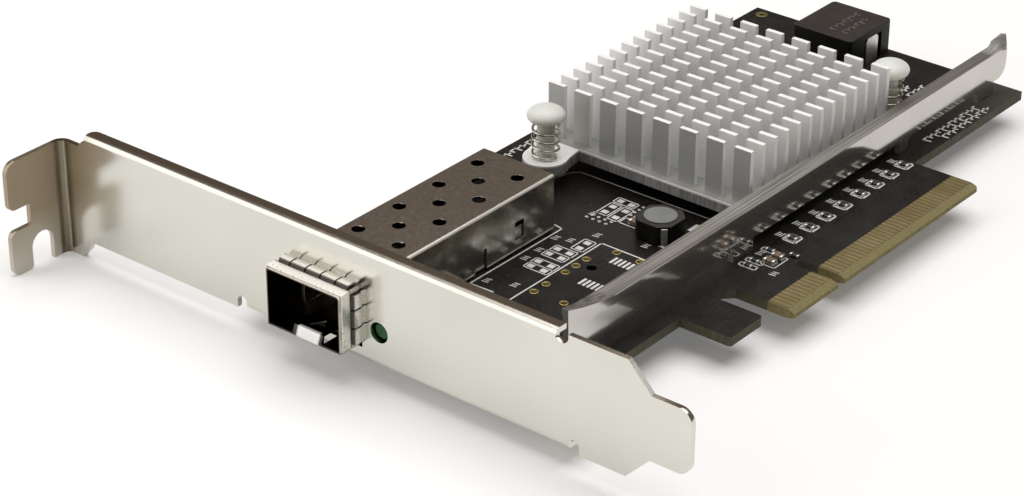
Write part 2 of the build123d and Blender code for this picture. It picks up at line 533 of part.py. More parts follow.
with BuildPart() as controller_lid:
    with Locations((CHIP_X, CHIP_Y, SUBSTRATE_H)):
        Box(LID, LID, LID_H, align=(Align.CENTER, Align.CENTER, Align.MIN))
    chamfer(controller_lid.edges().group_by(Axis.Z)[-1], 0.3)
controller_lid.part.label = "controller_lid"
export_step(controller_lid.part, "parts/controller_lid.step")

with BuildPart() as thermal_pad:
    with Locations((CHIP_X, CHIP_Y, SUBSTRATE_H + LID_H)):
        Box(LID - 3, LID - 3, PAD_H, align=(Align.CENTER, Align.CENTER, Align.MIN))
thermal_pad.part.label = "thermal_pad"
export_step(thermal_pad.part, "parts/thermal_pad.step")

# Heatsink: plate, two ears and flat pins
with BuildPart() as heatsink:
    with BuildSketch(Plane.XY.offset(SINK_BOTTOM)) as plate:
        with Locations(((SINK_LEFT + SINK_RIGHT) / 2, (SINK_FRONT + SINK_BACK) / 2)):
            Rectangle(SINK_RIGHT - SINK_LEFT, SINK_BACK - SINK_FRONT)
        near = PIN_CENTRES[0]
        far = PIN_CENTRES[1]
        with Locations(*PIN_CENTRES):
            Circle(EAR_R)
        Polygon((SINK_LEFT, SINK_FRONT + 1), (near[0] - EAR_R * 0.9, near[1] - EAR_R * 0.4),
                (near[0] + EAR_R * 0.9, near[1] + EAR_R * 0.4), (near[0] + 2.6, SINK_FRONT + 1), align=None)
        Polygon((SINK_RIGHT, SINK_BACK - 5), (far[0] + EAR_R * 0.95, far[1] - EAR_R * 0.3),
                (far[0], far[1] + EAR_R), (far[0] - EAR_R * 0.9, far[1] + EAR_R * 0.4),
                (far[0] - 5.5, SINK_BACK - 1), align=None)
        with Locations(*PIN_CENTRES):
            Circle(PUSH_HOLE_D / 2, mode=Mode.SUBTRACT)
    extrude(amount=SINK_BASE)
    with Locations(*[(FIN_X + FIN_DX * i, FIN_Y + FIN_DY * j, SINK_BOTTOM + SINK_BASE)
                     for i in range(8) for j in range(13)]):
        Box(FIN_W, FIN_T, SINK_TOP - SINK_BOTTOM - SINK_BASE, align=(Align.MIN, Align.MIN, Align.MIN))
heatsink.part.label = "heatsink"
export_step(heatsink.part, "parts/heatsink.step")

# Push pins holding the heatsink down
with BuildPart() as push_pins:
    with Locations(*[(x, y, PUSH_HEAD_LOW) for x, y in PIN_CENTRES]):
        Cylinder(PUSH_HEAD_D / 2, PUSH_HEAD_H, align=(Align.CENTER, Align.CENTER, Align.MIN))
    chamfer(push_pins.edges().group_by(Axis.Z)[-1], 0.9, 1.3)
    chamfer(push_pins.edges().group_by(Axis.Z)[0], HEAD_UNDERCUT)
    with Locations(*[(x, y, PUSH_HEAD_LOW) for x, y in PIN_CENTRES]):
        Cylinder(PUSH_SHANK_D / 2, PUSH_HEAD_LOW + BOARD_T, align=(Align.CENTER, Align.CENTER, Align.MAX))
    with Locations(*[(x, y, -BOARD_T) for x, y in PIN_CENTRES]):
        Cone(1.2, PUSH_HOLE_D / 2 + 0.35, 2.4, align=(Align.CENTER, Align.CENTER, Align.MAX))
    with Locations(*[(x, y, -BOARD_T - 2.4) for x, y in PIN_CENTRES]):
        Box(0.6, 6, 8.0, mode=Mode.SUBTRACT)
push_pins.part.label = "push_pins"
export_step(push_pins.part, "parts/push_pins.step")

# Coil springs between the ears and the heads
SPRING_LOW = SINK_BOTTOM + SINK_BASE
SPRING_R = (SPRING_D - SPRING_WIRE) / 2
SPRING_H = PUSH_HEAD_LOW - SPRING_LOW - SPRING_WIRE
with BuildPart() as push_pin_springs:
    for x, y in PIN_CENTRES:
        with BuildLine() as coil:
            Helix(SPRING_H / SPRING_TURNS, SPRING_H, SPRING_R, center=(x, y, SPRING_LOW + SPRING_WIRE / 2))
        with BuildSketch(Plane(coil.line @ 0, z_dir=coil.line % 0)):
            RegularPolygon(SPRING_WIRE / 2, 4)
        sweep(path=coil.line, is_frenet=True)
push_pin_springs.part.label = "push_pin_springs"
export_step(push_pin_springs.part, "parts/push_pin_springs.step")

# Block inductor: core and one strip winding
STRIP_FRONT = BLOCK_STRIP_Y - BLOCK_STRIP_W / 2
STRIP_BACK = BLOCK_STRIP_Y + BLOCK_STRIP_W / 2
with BuildPart() as block_inductor_core:
    block(BLOCK_LEFT, BLOCK_RIGHT, BLOCK_FRONT, BLOCK_FRONT + BLOCK_DEPTH, 0, BLOCK_H)
    chamfer(block_inductor_core.edges().filter_by(Axis.Z), 0.5)
    block(BLOCK_LEFT - 1, BLOCK_RIGHT + 1, STRIP_FRONT, STRIP_BACK, BLOCK_STRIP_H - BLOCK_STRIP_T,
          BLOCK_STRIP_H, mode=Mode.SUBTRACT)
    for x in (BLOCK_LEFT, BLOCK_RIGHT - BLOCK_STRIP_T):
        block(x, x + BLOCK_STRIP_T, STRIP_FRONT, STRIP_BACK, 0, BLOCK_STRIP_H, mode=Mode.SUBTRACT)
block_inductor_core.part.label = "block_inductor_core"
export_step(block_inductor_core.part, "parts/block_inductor_core.step")

LEAF_FRONT = BLOCK_STRIP_Y - BLOCK_LEAF_W / 2
LEAF_BACK = BLOCK_STRIP_Y + BLOCK_LEAF_W / 2
with BuildPart() as block_inductor_winding:
    block(BLOCK_LEFT + LEAF_INSET, BLOCK_RIGHT - LEAF_INSET, LEAF_FRONT, LEAF_BACK, 0, BLOCK_STRIP_H)
    block(BLOCK_LEFT + BLOCK_STRIP_T, BLOCK_RIGHT - BLOCK_STRIP_T, LEAF_FRONT - 1, LEAF_BACK + 1, -1,
          BLOCK_STRIP_H - BLOCK_STRIP_T, mode=Mode.SUBTRACT)
    chamfer(block_inductor_winding.edges().filter_by(Axis.X).group_by(Axis.Z)[-1], 0.6)
block_inductor_winding.part.label = "block_inductor_winding"
export_step(block_inductor_winding.part, "parts/block_inductor_winding.step")

# Drum inductor: eight-sided body, grey cap and corner terminals
with BuildPart() as drum_inductor_core:
    with Locations((DRUM_X, DRUM_Y, 0)):
        Box(DRUM_SIZE, DRUM_SIZE, DRUM_H, align=(Align.CENTER, Align.CENTER, Align.MIN))
    chamfer(drum_inductor_core.edges().filter_by(Axis.Z), DRUM_CHAMFER)
drum_inductor_core.part.label = "drum_inductor_core"
export_step(drum_inductor_core.part, "parts/drum_inductor_core.step")

with BuildPart() as drum_inductor_cap:
    with Locations((DRUM_X, DRUM_Y, DRUM_H)):
        Cylinder(DRUM_CAP_D / 2, DRUM_CAP_H, align=(Align.CENTER, Align.CENTER, Align.MIN))
drum_inductor_cap.part.label = "drum_inductor_cap"
export_step(drum_inductor_cap.part, "parts/drum_inductor_cap.step")

DRUM_REACH = (DRUM_SIZE - DRUM_CHAMFER) / 2 * 2 ** 0.5
with BuildPart() as drum_inductor_terminals:
    with Locations((DRUM_X, DRUM_Y, 0)):
        with PolarLocations(DRUM_REACH, 2, start_angle=-45):
            Box(0.3, 1.0, DRUM_H - 0.3, align=(Align.MIN, Align.CENTER, Align.MIN))
drum_inductor_terminals.part.label = "drum_inductor_terminals"
export_step(drum_inductor_terminals.part, "parts/drum_inductor_terminals.step")

# Chip parts: bodies between metal ends
ROW_BODY = ROW_LENGTH * (1 - 2 * END_SHARE)
SMALL_BODY = SMALL_LENGTH * (1 - 2 * END_SHARE)
MLCC_BODY = MLCC_LENGTH * (1 - 2 * END_SHARE)
STAND = (Align.CENTER, Align.CENTER, Align.MIN)
with BuildPart() as resistor_bodies:
    with Locations(*[(ROW_X, y, 0) for y in ROW_YS]):
        Box(ROW_BODY, ROW_WIDTH, ROW_H - 0.04, align=STAND)
    with Locations(*[(x, y, 0) for x, y in SMALL_PARTS]):
        Box(SMALL_BODY, SMALL_WIDTH, SMALL_H - 0.04, align=STAND)
resistor_bodies.part.label = "resistor_bodies"
export_step(resistor_bodies.part, "parts/resistor_bodies.step")

with BuildPart() as resistor_ends:
    for s in (-1, 1):
        with Locations(*[(ROW_X + s * (ROW_LENGTH + ROW_BODY) / 4, y, 0) for y in ROW_YS]):
            Box((ROW_LENGTH - ROW_BODY) / 2, ROW_WIDTH, ROW_H, align=STAND)
        with Locations(*[(x + s * (SMALL_LENGTH + SMALL_BODY) / 4, y, 0) for x, y in SMALL_PARTS]):
            Box((SMALL_LENGTH - SMALL_BODY) / 2, SMALL_WIDTH, SMALL_H, align=STAND)
resistor_ends.part.label = "resistor_ends"
export_step(resistor_ends.part, "parts/resistor_ends.step")

with BuildPart() as capacitor_bodies:
    with Locations(*[(x, y, 0) for x, y in MLCC_PARTS]):
        Box(MLCC_BODY, MLCC_WIDTH, MLCC_H - 0.04, align=STAND)
capacitor_bodies.part.label = "capacitor_bodies"
export_step(capacitor_bodies.part, "parts/capacitor_bodies.step")

with BuildPart() as capacitor_ends:
    for s in (-1, 1):
        with Locations(*[(x + s * (MLCC_LENGTH + MLCC_BODY) / 4, y, 0) for x, y in MLCC_PARTS]):
            Box((MLCC_LENGTH - MLCC_BODY) / 2, MLCC_WIDTH, MLCC_H, align=STAND)
capacitor_ends.part.label = "capacitor_ends"
export_step(capacitor_ends.part, "parts/capacitor_ends.step")

# Low parts behind the heatsink
with BuildPart() as flash_chip:
    with Locations((72.0, 114.0, 0)):
        Box(5.0, 6.0, 0.9, align=STAND)
    chamfer(flash_chip.edges().group_by(Axis.Z)[-1], 0.15)
flash_chip.part.label = "flash_chip"
export_step(flash_chip.part, "parts/flash_chip.step")

with BuildPart() as crystal_can:
    with Locations((49.0, 112.0, 0)):
        Box(5.0, 3.2, 1.1, align=STAND)
    fillet(crystal_can.edges().filter_by(Axis.Z), 0.5)
crystal_can.part.label = "crystal_can"
export_step(crystal_can.part, "parts/crystal_can.step")

with BuildPart() as regulator_chip:
    with Locations(((BLOCK_LEFT + BLOCK_RIGHT) / 2, BLOCK_FRONT - REGULATOR_GAP - REGULATOR_SIZE / 2, 0)):
        Box(REGULATOR_SIZE, REGULATOR_SIZE, 0.9, align=STAND)
    chamfer(regulator_chip.edges().group_by(Axis.Z)[-1], 0.15)
regulator_chip.part.label = "regulator_chip"
export_step(regulator_chip.part, "parts/regulator_chip.step")
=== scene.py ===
"""Network interface card: finishes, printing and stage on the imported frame."""

import math

import bmesh
import bpy
from bpy.props import FloatProperty, FloatVectorProperty, PointerProperty
from mathutils import Matrix, Vector


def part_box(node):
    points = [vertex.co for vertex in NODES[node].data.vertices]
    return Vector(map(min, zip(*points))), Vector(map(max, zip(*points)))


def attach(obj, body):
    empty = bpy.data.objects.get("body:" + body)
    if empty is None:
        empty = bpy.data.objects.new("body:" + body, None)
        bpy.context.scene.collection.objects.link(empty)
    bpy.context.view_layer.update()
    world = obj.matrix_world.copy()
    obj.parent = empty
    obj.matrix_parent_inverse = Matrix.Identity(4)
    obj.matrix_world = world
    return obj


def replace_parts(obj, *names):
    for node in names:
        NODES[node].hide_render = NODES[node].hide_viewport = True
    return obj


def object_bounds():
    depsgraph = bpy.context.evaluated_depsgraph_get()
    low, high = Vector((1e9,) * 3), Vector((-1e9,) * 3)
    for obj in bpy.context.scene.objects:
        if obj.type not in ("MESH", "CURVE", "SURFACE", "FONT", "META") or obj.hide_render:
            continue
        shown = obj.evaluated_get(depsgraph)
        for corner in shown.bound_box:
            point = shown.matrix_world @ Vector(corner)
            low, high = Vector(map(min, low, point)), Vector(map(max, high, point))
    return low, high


bl_info = {
    "name": "Network Interface Card",
    "version": (1, 0, 0),
    "blender": (4, 5, 0),
    "location": "View3D > Sidebar > Card",
    "description": "Dresses the packed network interface card and sets its stage",
    "category": "Object",
}

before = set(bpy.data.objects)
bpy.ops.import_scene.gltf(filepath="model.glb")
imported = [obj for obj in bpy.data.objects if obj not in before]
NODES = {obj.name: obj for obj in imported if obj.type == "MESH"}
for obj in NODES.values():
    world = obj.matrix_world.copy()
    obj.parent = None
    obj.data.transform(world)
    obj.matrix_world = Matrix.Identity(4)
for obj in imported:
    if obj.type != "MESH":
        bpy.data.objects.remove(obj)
CAD_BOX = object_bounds()
MM = 0.001
WHITE = (1.0, 1.0, 1.0)

# Corners of a CAD mesh nearer than WELD become one, faces that meet flatter than FLAT become one, and
# edges sharper than SHARP are softened
WELD = 0.002 * MM
FLAT = math.radians(0.5)
SHARP = math.radians(50.0)

# Depth of fine grain and of cut or brushed lines
GRAIN_DEPTH = 0.02 * MM
LINE_DEPTH = 0.03 * MM

# In mm: height of the heatsink's plate, depth of its pins' sawn tops, margin of the plate before the first
# pins, middle of the latch tongue along x, and the peg's hole in the board
SINK_PLATE = 2.05
PIN_TOP = 0.5
SINK_MARGIN = 1.4
LATCH_X = 55.3
PEG_HOLE = (73.5, 39.1, 0.0)


# Nodes and finishes


class Signal:
    """One output socket of a tree that takes part in arithmetic."""

    def __init__(self, owner, socket):
        self.owner = owner
        self.socket = socket

    def maths(self, operation, *values):
        inputs = dict(enumerate(values))
        return self.owner.node("ShaderNodeMath", {"operation": operation}, inputs)

    def __add__(self, other):
        return self.maths("ADD", self, other)

    def __radd__(self, other):
        return self.maths("ADD", other, self)

    def __sub__(self, other):
        return self.maths("SUBTRACT", self, other)

    def __rsub__(self, other):
        return self.maths("SUBTRACT", other, self)

    def __mul__(self, other):
        return self.maths("MULTIPLY", self, other)

    def __rmul__(self, other):
        return self.maths("MULTIPLY", other, self)

    def __gt__(self, other):
        return self.maths("GREATER_THAN", self, other)

    def __lt__(self, other):
        return self.maths("LESS_THAN", self, other)

    def size(self):
        return self.maths("ABSOLUTE", self)

    def fraction(self):
        return self.maths("FRACT", self)

    def larger(self, other):
        return self.maths("MAXIMUM", self, other)


class Tree:
    """A node tree that is being built."""

    def fill(self, target, value):
        """Give a socket a value, or link a signal to it."""
        if isinstance(value, Signal):
            self.tree.links.new(value.socket, target)
        else:
            target.default_value = value

    def node(self, kind, settings=None, inputs=None, output=0):
        """Add any node: its settings first, then its sockets' values or links."""
        made = self.tree.nodes.new(kind)
        for key, value in (settings or {}).items():
            setattr(made, key, value)
        for key, value in (inputs or {}).items():
            self.fill(made.inputs[key], value)
        return Signal(self, made.outputs[output])


class Finish(Tree):
    """A procedural material on Object coordinates, with one Principled shader."""

    def __init__(self, name, colour, roughness, metallic=0.0, **fixed):
        self.material = bpy.data.materials.new(name)
        self.material.use_nodes = True
        self.tree = self.material.node_tree
        self.shader = self.tree.nodes["Principled BSDF"]
        self.set("Base Color", (*colour, 1.0))
        self.set("Roughness", roughness)
        self.set("Metallic", metallic)
        for socket, value in fixed.items():
            self.set(socket.replace("_", " "), value)
        self.material.diffuse_color = (*colour, 1.0)

    def set(self, socket, value):
        """Give a shader socket a value or a signal."""
        self.fill(self.shader.inputs[socket], value)

    def place(self):
        """Object coordinates as a vector."""
        return self.node("ShaderNodeTexCoord", output="Object")

    def axes(self, vector=None):
        """The three parts of a vector, Object coordinates if none is given."""
        split = self.node("ShaderNodeSeparateXYZ", inputs={0: vector or self.place()})
        outputs = split.socket.node.outputs
        return [Signal(self, outputs[i]) for i in range(3)]

    def facing(self):
        """The three parts of the direction that the surface faces."""
        return self.axes(self.node("ShaderNodeNewGeometry", output="True Normal"))

    def noise(self, scale, detail=3.0, stretch=(1.0, 1.0, 1.0)):
        """Noise from 0 to 1, about 1/scale metres a blotch."""
        inputs = {0: self.place(), 1: stretch}
        where = self.node("ShaderNodeVectorMath", {"operation": "MULTIPLY"}, inputs)
        return self.node("ShaderNodeTexNoise", inputs={"Vector": where, "Scale": scale, "Detail": detail})

    def cloud(self, scale, low=0.3, high=0.7, detail=4.0):
        """Soft noise with more contrast, clamped to 0 and 1."""
        return self.between(self.noise(scale, detail), low, high)

    def mix(self, factor, first, second):
        """Blend of two colours."""
        inputs = {"Factor": factor}
        for key, colour in ((6, first), (7, second)):
            inputs[key] = colour if isinstance(colour, Signal) else (*colour, 1.0)
        return self.node("ShaderNodeMix", {"data_type": "RGBA"}, inputs, output=2)

    def between(self, value, low, high, out_low=0.0, out_high=1.0):
        """Value remapped with its ends clamped."""
        inputs = {"Value": value, "From Min": low, "From Max": high, "To Min": out_low, "To Max": out_high}
        return self.node("ShaderNodeMapRange", inputs=inputs)

    def fade(self, value, start, end, base=0.0):
        """0 at the start and 1 at the end, both in mm from a base place."""
        return self.between(value, base + start * MM, base + end * MM)

    def band(self, value, middle, inner, outer):
        """1 within the inner distance of a middle, 0 past the outer one, all in mm."""
        return self.between((value - middle * MM).size(), inner * MM, outer * MM, 1.0, 0.0)

    def near(self, place, reach):
        """1 within reach of a place, else 0, both in mm."""
        inputs = {0: self.place(), 1: [c * MM for c in place]}
        gap = self.node("ShaderNodeVectorMath", {"operation": "DISTANCE"}, inputs, "Value")
        return gap < reach * MM

    def bump(self, height, strength, depth=LINE_DEPTH):
        """Raise the surface by a height signal."""
        inputs = {"Height": height, "Strength": strength, "Distance": depth}
        self.set("Normal", self.node("ShaderNodeBump", inputs=inputs))

    def grain(self, scale, rough, relief):
        """Fine grain in relief and roughness; gives the roughness back, to add to."""
        fine = self.noise(scale)
        roughness = self.between(fine, 0.3, 0.7, *rough)
        self.set("Roughness", roughness)
        self.bump(fine, relief, GRAIN_DEPTH)
        return roughness


def cage_walls():
    """Middle and half width of the cage cover along x, and its top."""
    low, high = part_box("cage_cover")
    return (low.x + high.x) / 2, (high.x - low.x) / 2, high.z


def fin_front():
    """Where the first row of fins starts along y."""
    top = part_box("heatsink")[1].z - PIN_TOP * MM
    return min(v.co.y for v in NODES["heatsink"].data.vertices if v.co.z > top)


def bracket_finish(c):
    """Plated sheet with painted shade: browner on the rail tab and round its fold, darkest inside the fold,
    less brown low down, and darker on its upward faces.
    """
    finish = Finish("bracket_sheet", c.nickel, 0.2, 1.0)
    x, y, z = finish.axes()
    # Painted shade: the rail tab and the face near its fold are turned brown in blotches, less so low down
    tab = finish.fade(y, -0.3, -1.6)
    fold = finish.fade(x, 8.5, 1.5)
    low = finish.fade(z, 4.0, -4.0)
    shade = tab.larger(fold * (0.65 + finish.cloud(160.0) * 0.35)) * (1.0 - low * 0.55)
    # Painted shade inside the fold beside the rail tab
    bend = finish.band(y, -0.8, 0.6, 1.1) * (x < 2.2 * MM)
    # Painted shade: upward faces, such as the top flange, are darker
    up = finish.between(finish.facing()[2], 0.85, 0.97)
    sheet = finish.mix(finish.noise(40.0, 4.0), c.nickel, c.nickel_dark)
    sheet = finish.mix(up * 0.75, sheet, c.nickel_tab)
    tab_and_fold_shade = finish.mix(bend, c.nickel_tab, c.nickel_bend)
    finish.set("Base Color", finish.mix(shade.larger(bend), sheet, tab_and_fold_shade))
    finish.set("Roughness", finish.grain(3800.0, (0.17, 0.23), 0.08) + tab * 0.16)
    return finish.material


def collar_finish(c):
    """Pale plated collar, with painted shade: dark on the front slope of its fingers and olive at their root
    behind.
    """
    finish = Finish("collar_sheet", c.collar, 0.25, 0.72)
    finish.grain(1800.0, (0.26, 0.34), 0.03)
    x, y, z = finish.axes()
    middle, half, top = cage_walls()
    outside = (z > top - 0.02 * MM).larger((x - middle).size() > half)
    # Painted shade: a dark band across the front slope of the fingers
    slope = finish.band(y, -2.15, 0.16, 0.36) * outside
    # Painted shade: olive at the root of the fingers, by the bracket
    root_shade = finish.fade(y, -1.35, -0.8) * finish.fade(y, -0.2, -0.5) * outside
    sheet = finish.mix(finish.noise(60.0, 4.0), c.collar, c.nickel)
    sheet = finish.mix(root_shade * 0.5, sheet, c.collar_root_shade)
    finish.set("Base Color", finish.mix(slope, sheet, c.collar_slope_shade))
    return finish.material


def bar_finish(c):
    """Rolled bar: a mirror-like web, a brushed lip with fine lines along it, painted shade that darkens the
    lip towards its far end, and dull sawn ends.
    """
    finish = Finish("bar_sheet", c.bar, 0.15, 1.0)
    _, y, z = finish.axes()
    facing = finish.facing()
    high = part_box("stiffener_bar")[1]
    flare = finish.fade(y, -5.2, -3.6, high.y)
    sawn = facing[1] < -0.6
    turned = (z > high.z - 5.0 * MM) * flare * (facing[0] < 0.93)
    lip = finish.between(facing[2].size(), 0.35, 0.6).larger(turned)
    lines = finish.noise(3000.0, 3.0, (1.0, 0.012, 1.0))
    cloud = finish.cloud(70.0)
    rolled = finish.mix(finish.between(lines, 0.42, 0.60), c.bar_lip, c.bar_line)
    # Painted shade: the lip darkens towards the bar's far end
    rolled = finish.mix(finish.fade(y, 70.0, 130.0) * 0.55, rolled, c.bar_far)
    web = finish.mix(cloud * 0.5, c.bar, c.bar_dark)
    finish.set("Base Color", finish.mix(sawn, finish.mix(lip, web, rolled), c.bar_sawn))
    dull = (lip * flare * 0.6).larger(sawn * 0.8).larger((1.0 - lip) * 0.06)
    finish.set("Metallic", 1.0 - dull)
    finish.set("Roughness", lip * (0.34 + lines * 0.2 + flare * 0.2) + (1.0 - lip) * (0.09 + cloud * 0.07))
    finish.bump(lines * lip, 0.35)
    return finish.material


def sink_finish(c):
    """Aluminium with a coarse cut rim and rougher sawn tops on its pins, with painted highlights on the pin
    tops, the pins' upper ends, the ears and the plate's top edge, and painted shade on the first row's
    fronts and on the plate between the pins.
    """
    finish = Finish("sink_aluminium", c.aluminium, 0.45, 0.34)
    _, y, z = finish.axes()
    facing = finish.facing()
    low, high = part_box("heatsink")
    front = fin_front()
    up = facing[2] > 0.6
    # Pin tops: rougher sawn tops, painted lighter as a painted highlight
    tops = up * (z > high.z - PIN_TOP * MM)
    plate = z < low.z + SINK_PLATE * MM
    pins = 1.0 - plate
    # Painted shade: fronts of the first row of pins and the plate's top between the pins
    first = (facing[1] < -0.6) * pins * (y < front + 0.5 * MM)
    floor = up * plate * (y > front - SINK_MARGIN * MM)
    # Painted highlights: the ears' tops and a ridge along the plate's top edge
    ears = up * plate * (y < front - SINK_MARGIN * MM)
    ridge_highlight = finish.fade(z, 1.55, 1.75, low.z) * (z < low.z + 1.995 * MM)
    saw = finish.noise(3400.0, 3.0, (1.0, 1.0, 0.1))
    cut = finish.mix(finish.between(saw, 0.35, 0.65), c.cut, c.cut_dark)
    # Painted light: the pins lighter towards their upper ends, and the ears' tops
    bright = (pins * finish.between(z, low.z + 4.0 * MM, high.z) * 0.6).larger(ears)
    sheet = finish.mix(finish.cloud(90.0), c.aluminium, c.aluminium_dark)
    sheet = finish.mix(bright, sheet, c.aluminium_bright)
    sheet = finish.mix((first * 0.8).larger(floor), sheet, c.aluminium_dull)
    sheet = finish.mix((1.0 - up) * plate, sheet, cut)
    sheet = finish.mix(ridge_highlight, sheet, c.aluminium_bright)
    finish.set("Base Color", finish.mix(tops, sheet, c.pin_top))
    finish.set("Roughness", finish.between(saw, 0.3, 0.7, 0.38, 0.55) + tops * 0.15)
    finish.bump(saw, 0.25)
    return finish.material


def core_finish(c):
    """Pressed powder core: lighter on its upper faces, near black on its sides."""
    finish = Finish("black_core", c.core, 0.5, 0.0, Specular_IOR_Level=0.25)
    finish.grain(3800.0, (0.42, 0.58), 0.4)
    up = finish.between(finish.facing()[2], 0.3, 0.9)
    finish.set("Base Color", finish.mix(up * (0.7 + finish.cloud(420.0) * 0.3), c.core, c.core_top))
    return finish.material


def cage_finish(c):
    """Cage sheet with a painted reflection in cloudy patches on its side, painted shade inside and a painted
    highlight along its upper right edge.
    """
    finish = Finish("cage_sheet", c.cage, 0.15, 1.0)
    finish.grain(2600.0, (0.15, 0.24), 0.06)
    x, _, z = finish.axes()
    middle, half, top = cage_walls()
    right = middle + half
    # Painted highlight along the upper right edge, also made less metallic
    edge = finish.fade(x, -0.5, -0.25, right) * finish.fade(z, -0.5, -0.25, top)
    # Painted reflection: cloudy patches on the side
    side_reflection = finish.fade(x, -0.3, -0.1, right) * finish.cloud(210.0, 0.4, 0.65, 5.0)
    # Painted shade on the inner walls
    inner_shade = ((x - middle).size() < half - 0.12 * MM) * (z < top - 0.12 * MM)
    sheet = finish.mix(finish.noise(70.0, 4.0), c.cage, c.cage_dark)
    sheet = finish.mix(side_reflection, sheet, c.cage_side)
    sheet = finish.mix(inner_shade, sheet, c.cage_inside)
    finish.set("Base Color", finish.mix(edge, sheet, c.cage_edge))
    finish.set("Metallic", 1.0 - (edge * 0.55).larger(side_reflection * 0.2))
    return finish.material


def lip_finish(c):
    """Cage floor sheet with painted shade towards its front and a painted highlight on its latch tongue in
    front of the bracket.
    """
    finish = Finish("cage_floor", c.cage, 0.15, 1.0)
    finish.grain(2600.0, (0.16, 0.24), 0.05)
    x, y, _ = finish.axes()
    # Painted highlight: the front flap of the latch tongue, near white and hardly metallic
    lip = finish.fade(y, -3.25, -3.55) * finish.band(x, LATCH_X, 1.9, 2.3)
    # Painted shade: the floor darkens towards its front
    sheet = finish.mix(finish.fade(y, 2.0, -1.0), c.cage_dark, c.cage_floor)
    finish.set("Base Color", finish.mix(lip, sheet, c.latch))
    finish.set("Metallic", 1.0 - lip * 0.85)
    return finish.material


def board_finish(c):
    """Black solder mask over faint tracks, with bare laminate at the edges and under the contacts."""
    finish = Finish("board_mask", c.mask, 0.3, 0.0, IOR=1.5, Specular_IOR_Level=0.36)
    x, y, _ = finish.axes()
    upright = finish.facing()[2].size()
    low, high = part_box("edge_contacts")
    walls = upright < 0.5
    peg = finish.near(PEG_HOLE, 2.2)
    tongue = (x > low.x + 0.05 * MM) * (y > low.y - 0.9 * MM)
    bare = (walls * (1.0 - peg)).larger(tongue)
    diagonal = ((x + y) * 620.0).fraction() < 0.28
    straight = (x * 880.0).fraction() < 0.3
    areas = finish.noise(75.0, 1.0) > 0.5
    tracks = (diagonal * areas + straight * (1.0 - areas)) * (finish.noise(140.0, 1.0) > 0.47)
    mask = finish.mix(tracks * 0.35, c.mask, c.track)
    mask = finish.mix(finish.cloud(900.0, 0.62, 0.78) * 0.25, mask, c.dust)
    mask = finish.mix(finish.fade(y, 112.0, 128.0) * (x > 86.8 * MM), mask, c.mask_far)
    # Painted shade: the wall of the peg's hole is near black
    mask = finish.mix(peg * walls, mask, c.peg_wall_shade)
    fibres = finish.noise(3200.0, 3.0, (1.0, 1.0, 0.25))
    weave = finish.between(fibres, 0.3, 0.7)
    edge = finish.mix(weave, c.laminate, c.laminate_dark)
    laminate = finish.mix(tongue, edge, finish.mix(weave, c.tongue, c.tongue_dark))
    gaps = tongue * (upright > 0.98) * (x < high.x)
    laminate = finish.mix(gaps, laminate, c.tongue_gap)
    finish.set("Base Color", finish.mix(bare, mask, laminate))
    finish.set("Roughness", bare * 0.35 + finish.between(finish.noise(260.0, 4.0), 0.3, 0.7, 0.26, 0.42))
    finish.bump(tracks * (1.0 - bare) + fibres * bare * 0.4, 0.35)
    return finish.material


# Meshes


def add_object(name, data):
    """Link a new object at the origin."""
    made = bpy.data.objects.new(name, data)
    bpy.context.scene.collection.objects.link(made)
    return made


def settle(piece):
    """Turn a piece and its modifiers into a plain mesh, and fix it to the card."""
    if piece.modifiers:
        graph = bpy.context.evaluated_depsgraph_get()
        made = bpy.data.meshes.new_from_object(piece.evaluated_get(graph))
        piece.modifiers.clear()
        piece.data = made
    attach(piece, "root")
    return piece


def welded(node):
    """A CAD node's mesh to work on, with its loose corners joined."""
    work = bmesh.new()
    work.from_mesh(NODES[node].data)
    bmesh.ops.remove_doubles(work, verts=work.verts, dist=WELD)
    return work


def shaped(name, work, material):
    """The object that comes of the work, in one material."""
    for face in work.faces:
        face.material_index = 0
    mesh = bpy.data.meshes.new(name)
    work.to_mesh(mesh)
    work.free()
    mesh.materials.append(material)
    return add_object(name, mesh)


def dress(node, material, width, segments=2):
    """A welded copy of a CAD node with softened edges, which then stands for it."""
    work = welded(node)
    bmesh.ops.dissolve_limit(work, angle_limit=FLAT, verts=work.verts, edges=work.edges)
    for face in work.faces:
        face.smooth = True
    piece = shaped(node + "_dressed", work, material)
    bevel = piece.modifiers.new("edges", "BEVEL")
    bevel.width = width
    bevel.segments = segments
    bevel.limit_method = "ANGLE"
    bevel.angle_limit = SHARP
    piece.modifiers.new("shading", "WEIGHTED_NORMAL").weight = 100
    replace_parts(settle(piece), node)


def paint(node, material):
    """Give a CAD node its finish."""
    slots = NODES[node].data.materials
    if not slots:
        slots.append(material)
    for i in range(len(slots)):
        slots[i] = material


def stroke(work, start, end, width, height, level=0.0):
    """A flat raised line between two places in mm, on the board or at a level above it."""
    a, b = Vector((*start, level)) * MM, Vector((*end, level)) * MM
    along = (b - a).normalized() * width / 2
    side = Vector((-along.y, along.x, 0.0))
    corners = [a - along - side, b + along - side, b + along + side, a - along + side]
    lower = [work.verts.new(corner) for corner in corners]
    upper = [work.verts.new(corner + Vector((0.0, 0.0, height))) for corner in corners]
    work.faces.new(upper)
    work.faces.new(lower[::-1])
    for i in range(4):
        j = (i + 1) % 4
        work.faces.new((lower[i], lower[j], upper[j], upper[i]))


def frame_of(work, x0, x1, y0, y1, width, height):
    """Four strokes round a rectangle in mm."""
    corners = [(x0, y0), (x1, y0), (x1, y1), (x0, y1)]
    for i in range(4):
        stroke(work, corners[i], corners[(i + 1) % 4], width, height)


